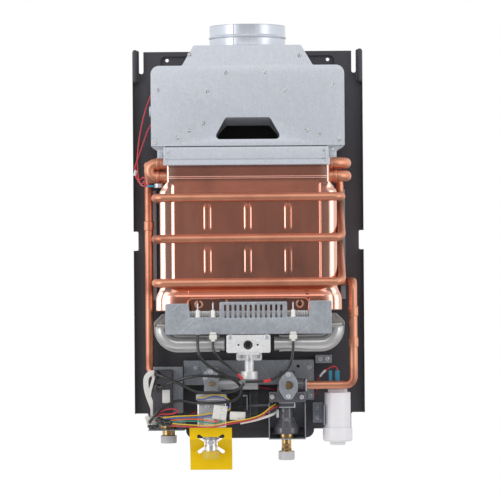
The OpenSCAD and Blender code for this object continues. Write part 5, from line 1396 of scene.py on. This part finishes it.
class HEATER_OT_battery(bpy.types.Operator):
    """Battery case with its tab, screw cap, cell and spring contact"""
    bl_idname = "heater.battery"
    bl_label = "Battery case"

    def execute(self, context):
        x, d, top, lower = BATTERY_X, BATTERY_D, -490, -552
        wall = [(0, top), (18.0, top), (19.0, top - 1.0), (19.0, -535), (19.0, lower), (17.6, lower), (17.6, top - 1.5),
                (0, top - 1.5)]
        case = [turned(wall, x, d, steps=96, r=0.7)]
        case.append(block(114, 142, 54, 70, top - 0.5, top + 4.6, 1.0, 3))
        for s in (-1, 1):
            case.append(block(x + s * 9 - 1, x + s * 9 + 1, 54.5, 70.6, top - 0.4, top + 3.4, 0.4))
        for h in (-494.5, -530.5):
            bead = [(18.9, h - 0.5), (19.25, h - 0.3), (19.25, h + 0.3), (18.9, h + 0.5)]
            case.append(turned(bead, x, d, steps=96, closed=True, r=0.2))
        piece("battery_case_shell", together(*case), "grey_plastic", "battery_case", True, smooth=40)

        def grip(t, z):
            """36 soft ribs, 0.16 high, round the skirt of the cap."""
            reach = smooth_step(lower - 5, lower - 3.4, z) * smooth_step(lower + 10.2, lower + 9, z)
            return 0.16 * np.cos(36 * t) * reach

        def flutes(t, z):
            """16 sharp flutes, 0.5 deep, round the knob."""
            return -0.5 * (0.5 + 0.5 * np.cos(16 * t)) ** 3 * smooth_step(lower - 9.6, lower - 10.2, z)

        outer, bore = 21.5, 19.6
        cup = [(0, lower - 9.5), (bore + 0.3, lower - 9.5), (outer - 1.2, lower - 8.9), (outer, lower - 7),
               (outer, lower + 10.4), (outer - 0.4, lower + 10.7), (bore, lower + 10.7), (bore, lower - 8.1),
               (0, lower - 8.1)]
        knob = [(0, lower - 14.8), (10.6, lower - 14.8), (11.3, lower - 14.1), (11.3, lower - 9.6), (12.0, lower - 9.3),
                (0, lower - 9.2)]
        lid = [turned(cup, x, d, steps=216, r=0.6, wave=grip), turned(knob, x, d, steps=192, r=0.5, wave=flutes)]
        piece("battery_screw_cap", together(*lid), "grey_plastic", "battery_lid", True, smooth=40)
        softened("battery_bracket", 0.3)
        softened("battery_contact", 0.1)
        jacket = [(0, -553.3), (8, -553.3), (8.5, -552.9), (16.0, -552.9), (17.1, -552.0), (17.1, -494.2),
                  (16.4, -493.2), (12, -492.9), (0, -492.8)]
        stud = [(0, -493), (4.5, -493), (4.5, -492.2), (4.0, -491.8), (0, -491.8)]
        cell = [turned(jacket, x, d, steps=72, r=0.4), turned(stud, x, d, steps=32, r=0.2)]
        piece("battery_cell_body", together(*cell), "cell_jacket", "battery_cell", True, smooth=40)
        return {"FINISHED"}


LEAD_R, WIRE_R = 2.1, 0.95
# Points (x, d, z) along each lead and wire; the other lists hold a width or radius with its route
ROUTES = {
    "leads_black": [
        [(-74, 128.2, -403.2), (-74, 128.2, -405.5), (-74, 133, -420), (-71, 136, -434), (-62.5, 134, -444),
         (-45.7, 130, -456), (-23, 125, -468), (-12.8, 119, -478.5), (-13, 117, -489), (-20, 118, -496),
         (-31.5, 118, -500.3), (-58, 112, -502), (-75, 106, -502), (-104, 98, -499.5), (-127.6, 97, -510),
         (-137, 97, -520), (-144, 93, -528), (-145.5, 89, -530.5), (-145.5, 86.3, -530.5)],
        [(-52, 136, -410.2), (-52, 137, -420), (-50, 140, -428), (-42, 140, -438.5), (-28.5, 138, -449),
         (-18, 134, -458), (-10.5, 130, -466.7)],
        [(63, 136, -410.2), (62, 137, -429.5), (59, 138, -443.5), (50.6, 137, -456.5), (38, 136, -465),
         (27.7, 134, -469), (13.7, 132, -470.5), (-6, 130, -471)],
        [(-134, 96, -461), (-130, 101, -462), (-118, 106, -467), (-103.5, 110, -473), (-80, 116, -484),
         (-57, 120, -487), (-29, 123, -485.5), (-14, 126, -480), (-8, 128, -473)],
        [(-133, 96, -480), (-128, 99, -479), (-121, 100, -475.5), (-109, 104, -471.5), (-91.7, 112, -465.5),
         (-71.5, 118, -462.5), (-46, 122, -463.5), (-23, 126, -466), (-14, 128, -469)],
    ],
    "wires_red": [
        [(-133.8, 82, -534), (-131, 82, -534), (-109, 98, -535.5), (-69.5, 108.5, -537), (-48, 114.5, -535.8),
         (-30, 117.5, -532), (0, 116.5, -527), (17, 114.5, -521), (30, 106, -512), (39.8, 92, -508.5),
         (39.8, 88.3, -508.5)],
        [(-141, 86.3, -523.6), (-141, 89, -523.6), (-128, 94, -514), (-112, 95, -511), (-104, 95, -514.5),
         (-112, 96, -518), (-130, 94, -519), (-138.4, 89, -523.6), (-138.4, 86.3, -523.6)],
        [(-142, 36, -53), (-150, 40, -75), (-158, 45, -110), (-162, 50, -145), (-161, 56, -168),
         (-157, 76, -184), (-151, 92.5, -188.3), (-147.3, 92.5, -188.3)],
        [(128, 62, -458.1), (127.5, 62, -455), (122, 64, -452.5), (108, 60, -461), (100, 48, -474),
         (98, 30, -492), (86, 14, -498), (24, 12, -486), (-6, 12, -485), (-40, 14, -494), (-80, 20, -520),
         (-108, 48, -531), (-120, 64, -531), (-122, 67, -526), (-122, 67, -522.3)],
    ],
    "wires_yellow": [
        [(-135.8, 86.3, -525), (-135.8, 88.8, -525), (-104, 100, -521.5), (-75, 106, -520), (-56, 110, -517),
         (-53.3, 110, -517)],
        [(-133.8, 80, -531), (-131, 80, -531), (-109, 98, -532.4), (-69.5, 110, -534.3), (-48, 116, -533),
         (-30, 118, -529.3), (0, 118, -524.4), (17, 116, -518.4), (29, 108, -509.5), (37, 92, -505.7),
         (37, 88.3, -505.7)],
        [(-76, 100, -495), (-66, 106, -494.5), (-54.5, 110, -490), (-40, 112, -491.5), (-29.5, 111.5, -498.5),
         (-28.6, 110.5, -509.5), (-30.3, 110, -512.3), (-32.7, 110, -512.4)],
    ],
    "wires_blue": [
        [(-137.5, 86.3, -527.4), (-137.5, 89, -527.4), (-104, 99.5, -524), (-75, 105, -522.8),
         (-56, 108, -520), (-53.3, 108, -520)],
        [(-76, 102, -497.5), (-66, 108, -497), (-54.5, 111, -493), (-40, 113.3, -494.2),
         (-30.5, 114.2, -500.7), (-28.6, 113.6, -506.6), (-30.5, 112.6, -509.2), (-32.7, 112.5, -509.3)],
    ],
    "wires_green": [
        [(-135.3, 86.3, -532.7), (-135.3, 88.8, -532.7), (-104, 99.5, -529), (-75, 105.5, -528.6),
         (-56, 110, -531.2), (-46, 110.5, -532), (-41.5, 111, -529.5), (-41.5, 111, -526.4)],
    ],
    "wires_orange": [
        [(-136.5, 86.3, -530), (-136.5, 88.8, -530), (-104, 99.5, -526.5), (-75, 105.5, -525.6),
         (-57, 110.5, -528.2), (-51, 111, -529.3), (-47, 111, -528.6), (-47, 111, -526.4)],
    ],
}
SLEEVE_ROUTE = [(-14, 114, -531), (7, 112, -527), (29, 104, -521), (36.5, 84, -518.5)]
BUNDLES = [(5.2, 3, [(-134, 92, -525), (-127, 94, -530), (-119, 94, -531), (-111, 94, -528)]),
           (3.2, 2, [(-148, 84, -536), (-141, 86, -538.5), (-133, 88, -536)])]
TAPE_ROUTES = [(7.5, [(-138, 88.5, -459), (-144.5, 88.5, -460), (-149.8, 87, -466), (-150.6, 85, -477),
                      (-148.5, 83.5, -489), (-144.5, 82.5, -501), (-141, 81.5, -511), (-141, 80.5, -521.9)]),
               (4.0, [(-138.6, 87.6, -459.5), (-139.6, 88, -467), (-142.4, 87, -477), (-144.8, 85.4, -486),
                      (-145.5, 84, -494)])]
LOOSE_REDS = [
    [(-142, 40, -96), (-147, 44, -106), (-154, 48, -126), (-161, 51, -146), (-165.2, 52, -158), (-165.4, 52, -166)],
    [(-165, 52, -171), (-163, 56, -176), (-158, 62, -178), (-153, 70, -175), (-150, 78, -178), (-150.5, 86, -184),
     (-148.5, 90, -187)],
    [(-163, 52, -171), (-160, 58, -181), (-155, 66, -184), (-151.6, 74, -181), (-149.4, 82, -183), (-147.4, 92, -186)],
]


def part_of(path, start, end):
    """The stretch of a path between two shares of its length, cut at even steps."""
    s = distances(path)
    return resampled(path, s, np.linspace(start * s[-1], end * s[-1], 12))


def band(path, width):
    """Flat band, 0.7 thick, that faces the front: the path moved by half the width to both sides, square to its run."""
    across = np.cross(frames(path)[0], [0, -1, 0])
    across /= np.linalg.norm(across, axis=1)[:, None]
    lift = np.array([0, 0.35, 0])
    rows = [path + s * across * width / 2 + h * lift for s, h in ((-1, -1), (-1, 1), (1, 1), (1, -1))]
    return lattice(np.stack(rows, 1), caps=True)


def tilted(form, degrees, x, z):
    """The form turned about (x, z) in the front plane."""
    t, points = math.radians(degrees), form[0].copy()
    dx, dz = points[:, 0] - x, points[:, 2] - z
    points[:, 0], points[:, 2] = x + dx * math.cos(t) - dz * math.sin(t), z + dx * math.sin(t) + dz * math.cos(t)
    return points, form[1]


def crumpled(path, radius, folds):
    """Taped bundle: radius r (1 + 0.12 sin(2 t + 9 s) + 0.07 sin(5 t - 17 s)), with s the share of the length times
    the folds, drawn in at both ends."""
    _, side, up = frames(path)
    t = (np.arange(28) * 2 * math.pi / 28)[None, :, None]
    s = np.linspace(0, 1, len(path))[:, None, None]
    r = radius * (1 + 0.12 * np.sin(2 * t + 9 * s * folds) + 0.07 * np.sin(5 * t - 17 * s * folds))
    r = r * (0.45 + 0.55 * np.sin(math.pi * (s * 0.9 + 0.05)) ** 0.5)
    return lattice(path[:, None] + r * (np.cos(t) * side[:, None] + np.sin(t) * up[:, None]), caps=True)


def connector(x0, x1, d0, d1, z0, z1, ribs):
    """Moulded connector: rounded body, raised collar, a latch and a row of ribs on its front."""
    wide, middle = x1 - x0, (z0 + z1) / 2
    forms = [block(x0, x1, d0, d1 - 1.4, z0, z1, 0.7, 3),
             block(x0, x0 + wide * 0.55, d0 + 0.4, d1 - 0.2, z0 + 0.5, z1 - 0.5, 0.5, 3),
             block(x0 + wide * 0.5, x1 - 1.5, d1 - 2, d1 - 0.1, middle - 2, middle + 2, 0.4, 3)]
    for k in range(ribs):
        z = z0 + (z1 - z0) * (k + 0.5) / ribs
        forms.append(block(x0 + 1.5, x0 + 6.5, d1 - 0.6, d1, z - 0.5, z + 0.5, 0.2))
    return together(*forms)


class HEATER_OT_leads(bpy.types.Operator):
    """Ignition leads, thin wires, connectors, sleeves and tapes"""
    bl_idname = "heater.leads"
    bl_label = "Leads and connectors"

    def execute(self, context):
        black = [tube(curve(run(r), 6), LEAD_R, 14) for r in ROUTES["leads_black"]]
        boot = [(0, 0), (5, 0), (5, 2.2), (4.4, 3.0), (4.4, 4.4), (4.9, 5.0), (3.4, 8), (0, 8)]
        black += [turned(boot, x, 88, z, "y", 32, r=0.5) for x, z in SPARK_OUTLETS]
        piece("ignition_leads", together(*black), "black_rubber", "leads_black", True, smooth=60)
        bands = []
        for route, start, end in ((2, 0.66, 0.76), (1, 0.86, 0.99)):
            bands.append(tube(part_of(curve(run(ROUTES["leads_black"][route]), 6), start, end), 2.35, 16))
        piece("lead_tape_bands", together(*bands), "red_tape", "leads_black", smooth=50)
        for name in ("red", "yellow", "blue", "green", "orange"):
            routes = ROUTES["wires_" + name] + (LOOSE_REDS if name == "red" else [])
            forms = [tube(curve(run(r), 5), WIRE_R, 10) for r in routes]
            piece("thin_wires_" + name, together(*forms), name + "_wire", "wires_" + name, True, smooth=60)
        terminals = []
        for x0, x1, half in ((115.5, 120.5, 2.5), (124.8, 131.2, 3.2)):
            rear, front = BATTERY_D - half, BATTERY_D + half
            terminals.append(block(x0, x1, rear, front, -475, -458.3, 1.4, 4))
            terminals.append(block(x0 + 0.5, x1 - 0.5, rear + 0.5, front - 0.5, -485.4, -474, 0.8, 3))
            terminals.append(rim(panel(x0 + 0.8, x1 - 0.8, -471, -467, 0.6),
                                 [(-0.2, front - 0.1), (0, front + 0.1), (0.4, front + 0.1), (0.7, front - 0.1)]))
        for d in (91, 96):
            terminals.append(block(-147, -136.2, d, d + 3, -189.8, -186.8, 0.8, 3))
        piece("crimp_terminals", together(*terminals), "blue_sleeve", "wires_blue", smooth=50)
        battery_lead = curve(run(ROUTES["wires_red"][3]), 6)
        piece("lead_splice_sleeve", tube(part_of(battery_lead, 0.065, 0.105), 1.7, 14), "grey_plastic",
              "wires_red", smooth=50)

        white = [tilted(connector(-53, -33, 104, 114, -526, -505, 5), -9, -43, -515),
                 tilted(connector(-29, -6.5, 104, 114, -527, -515, 3), -3, -18, -521),
                 tilted(connector(-150.5, -137, 76, 86, -536.5, -523.5, 4), 14, -144, -530),
                 tilted(connector(-143, -134, 79, 88, -531, -522.5, 2), -24, -138, -527),
                 tilted(block(-152, -145, 80, 87, -529, -521, 0.8, 3), 30, -148, -525),
                 block(38.2, 42.2, 64, 78, -526, -514, 0.8, 3)]
        stem = [(0, -412.6), (2.6, -412.6), (3.1, -411.8), (3.3, -409), (0, -409)]
        for x in ELECTRODES[1:]:
            white.append(block(x - 5.6, x + 5.6, 132.3, 139, -409.6, -402.9, 1.0, 3))
            white.append(block(x - 4.6, x + 4.6, 133.2, 138.2, -402.9, -399.0, 1.4, 3))
            white.append(turned(stem, x, 136, steps=24, r=0.4))
        bundles = [crumpled(curve(run(route), 8), radius, folds) for radius, folds, route in BUNDLES]
        piece("harness_tape", together(*bundles), "black_rubber", "leads_black", smooth=50)
        white.append(tube(curve(run(SLEEVE_ROUTE), 6), 2.0, 16))
        white.append(tube(run([(-166, 52, -172), (-165, 52, -168), (-164, 52, -164)]), 2.5, 14))
        for width, route in TAPE_ROUTES:
            white.append(band(curve(run(route), 6), width))
        piece("connectors_white", together(*white), "white_nylon", "plugs", True, smooth=50)
        return {"FINISHED"}


class HEATER_OT_stage(bpy.types.Operator):
    """Camera at the photograph's angle, pale floor and soft studio light"""
    bl_idname = "heater.stage"
    bl_label = "Stage"

    def lamp(self, name, place, aim, width, height, power):
        light = bpy.data.lights.new(name, "AREA")
        light.shape, light.size, light.size_y, light.energy = "RECTANGLE", width, height, power
        thing = bpy.data.objects.new(name, light)
        bpy.context.scene.collection.objects.link(thing)
        thing.location = place
        thing.rotation_euler = (Vector(aim) - Vector(place)).to_track_quat("-Z", "Y").to_euler()

    def execute(self, context):
        studio, scene = context.scene.heater_studio, context.scene
        camera = bpy.data.objects.new("camera", bpy.data.cameras.new("camera"))
        scene.collection.objects.link(camera)
        camera.location = (studio.camera_side, -studio.camera_distance, -studio.camera_drop)
        camera.rotation_euler = (math.pi / 2, studio.camera_roll, 0)
        camera.data.lens, camera.data.sensor_width, camera.data.clip_end = studio.lens, 36, 50
        scene.camera = camera

        radius, steps = studio.floor_radius, 96
        ring = np.linspace(0.001, 1, 24)[:, None] * radius
        t = np.arange(steps) * 2 * math.pi / steps
        points, faces = lattice(np.stack([ring * np.cos(t), ring * np.sin(t), 0 * ring * t - studio.floor_drop], -1))
        mesh = bpy.data.meshes.new("floor")
        mesh.from_pydata(points.tolist(), [], faces + [list(range(steps))])
        floor = bpy.data.objects.new("floor", mesh)
        scene.collection.objects.link(floor)
        paint = Paint(bpy.data.materials.new("floor"))
        x, y = paint.axis("X"), paint.axis("Y")
        away = (x * x + y * y) ** 0.5 / (radius / MM)
        grain = paint.noise(40, 3)
        colour = scene.heater_colours.floor
        matt = paint.node("ShaderNodeBsdfDiffuse", None, {"Color": paint.mix(grain, shade(colour, 0.97), colour)})
        clear = paint.node("ShaderNodeBsdfTransparent")
        blend = paint.node("ShaderNodeMixShader", None, {0: away.between(0.55, 0.98), 1: matt.out(), 2: clear.out()})
        paint.node("ShaderNodeOutputMaterial", None, {"Surface": blend.out()})
        mesh.materials.append(paint.owner)

        scene.world = bpy.data.worlds.new("studio")
        sky = Paint(scene.world)
        ray = sky.node("ShaderNodeLightPath")
        toward = sky.node("ShaderNodeSeparateXYZ", None, {"Vector": sky.node("ShaderNodeTexCoord").out("Generated")})
        front = (-toward.out("Y")).between(0.6, 0.95)
        under = (-toward.out("Z")).between(0.0, 0.7)
        ceiling = toward.out("Z").between(0.35, 0.8)
        room = 1.0 - (front * studio.room_dark).most(under * studio.room_dark).most(ceiling * (studio.room_dark * 0.6))
        seen = ray.out("Is Camera Ray").most(ray.out("Is Glossy Ray") * room).most(ray.out("Is Transmission Ray"))
        strength = seen.most(ray.out("Is Diffuse Ray") * studio.sky)
        back = sky.node("ShaderNodeBackground", None, {"Color": (1, 1, 1, 1), "Strength": strength})
        sky.node("ShaderNodeOutputWorld", None, {"Surface": back.out()})

        self.lamp("key", (-2.3, -1.9, 0.05), (0, 0, -0.28), 0.9, 2.2, studio.key)
        self.lamp("fill", (2.4, -1.8, 0.0), (0, 0, -0.3), 0.9, 2.2, studio.fill)
        self.lamp("top", (0.1, -2.6, 1.25), (0, -0.05, -0.2), 2.6, 1.2, studio.top)
        scene.view_settings.view_transform = "Standard"
        return {"FINISHED"}


PIECES = (HEATER_OT_solids, HEATER_OT_hood, HEATER_OT_heat_exchanger, HEATER_OT_burner, HEATER_OT_valves,
          HEATER_OT_connections, HEATER_OT_battery, HEATER_OT_leads)


class HEATER_PT_sidebar(bpy.types.Panel):
    """Lists the steps that build the heater"""
    bl_idname = "HEATER_PT_sidebar"
    bl_label = "Water heater"
    bl_space_type = "VIEW_3D"
    bl_region_type = "UI"
    bl_category = "Water heater"

    def draw(self, context):
        for step in (*PIECES, HEATER_OT_stage):
            self.layout.operator(step.bl_idname)
        for group in (context.scene.heater_colours, context.scene.heater_studio):
            box = self.layout.box()
            for name in group.__annotations__:
                box.prop(group, name)


CLASSES = (HeaterColours, HeaterStudio, *PIECES, HEATER_OT_stage, HEATER_PT_sidebar)


def register():
    for made in CLASSES:
        bpy.utils.register_class(made)
    bpy.types.Scene.heater_colours = bpy.props.PointerProperty(type=HeaterColours)
    bpy.types.Scene.heater_studio = bpy.props.PointerProperty(type=HeaterStudio)


def unregister():
    del bpy.types.Scene.heater_studio
    del bpy.types.Scene.heater_colours
    for made in reversed(CLASSES):
        bpy.utils.unregister_class(made)


def main():
    """Registers the classes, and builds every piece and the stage."""
    register()
    for step in (*PIECES, HEATER_OT_stage):
        group, name = step.bl_idname.split(".")
        getattr(getattr(bpy.ops, group), name)()


if __name__ == "__main__":
    main()
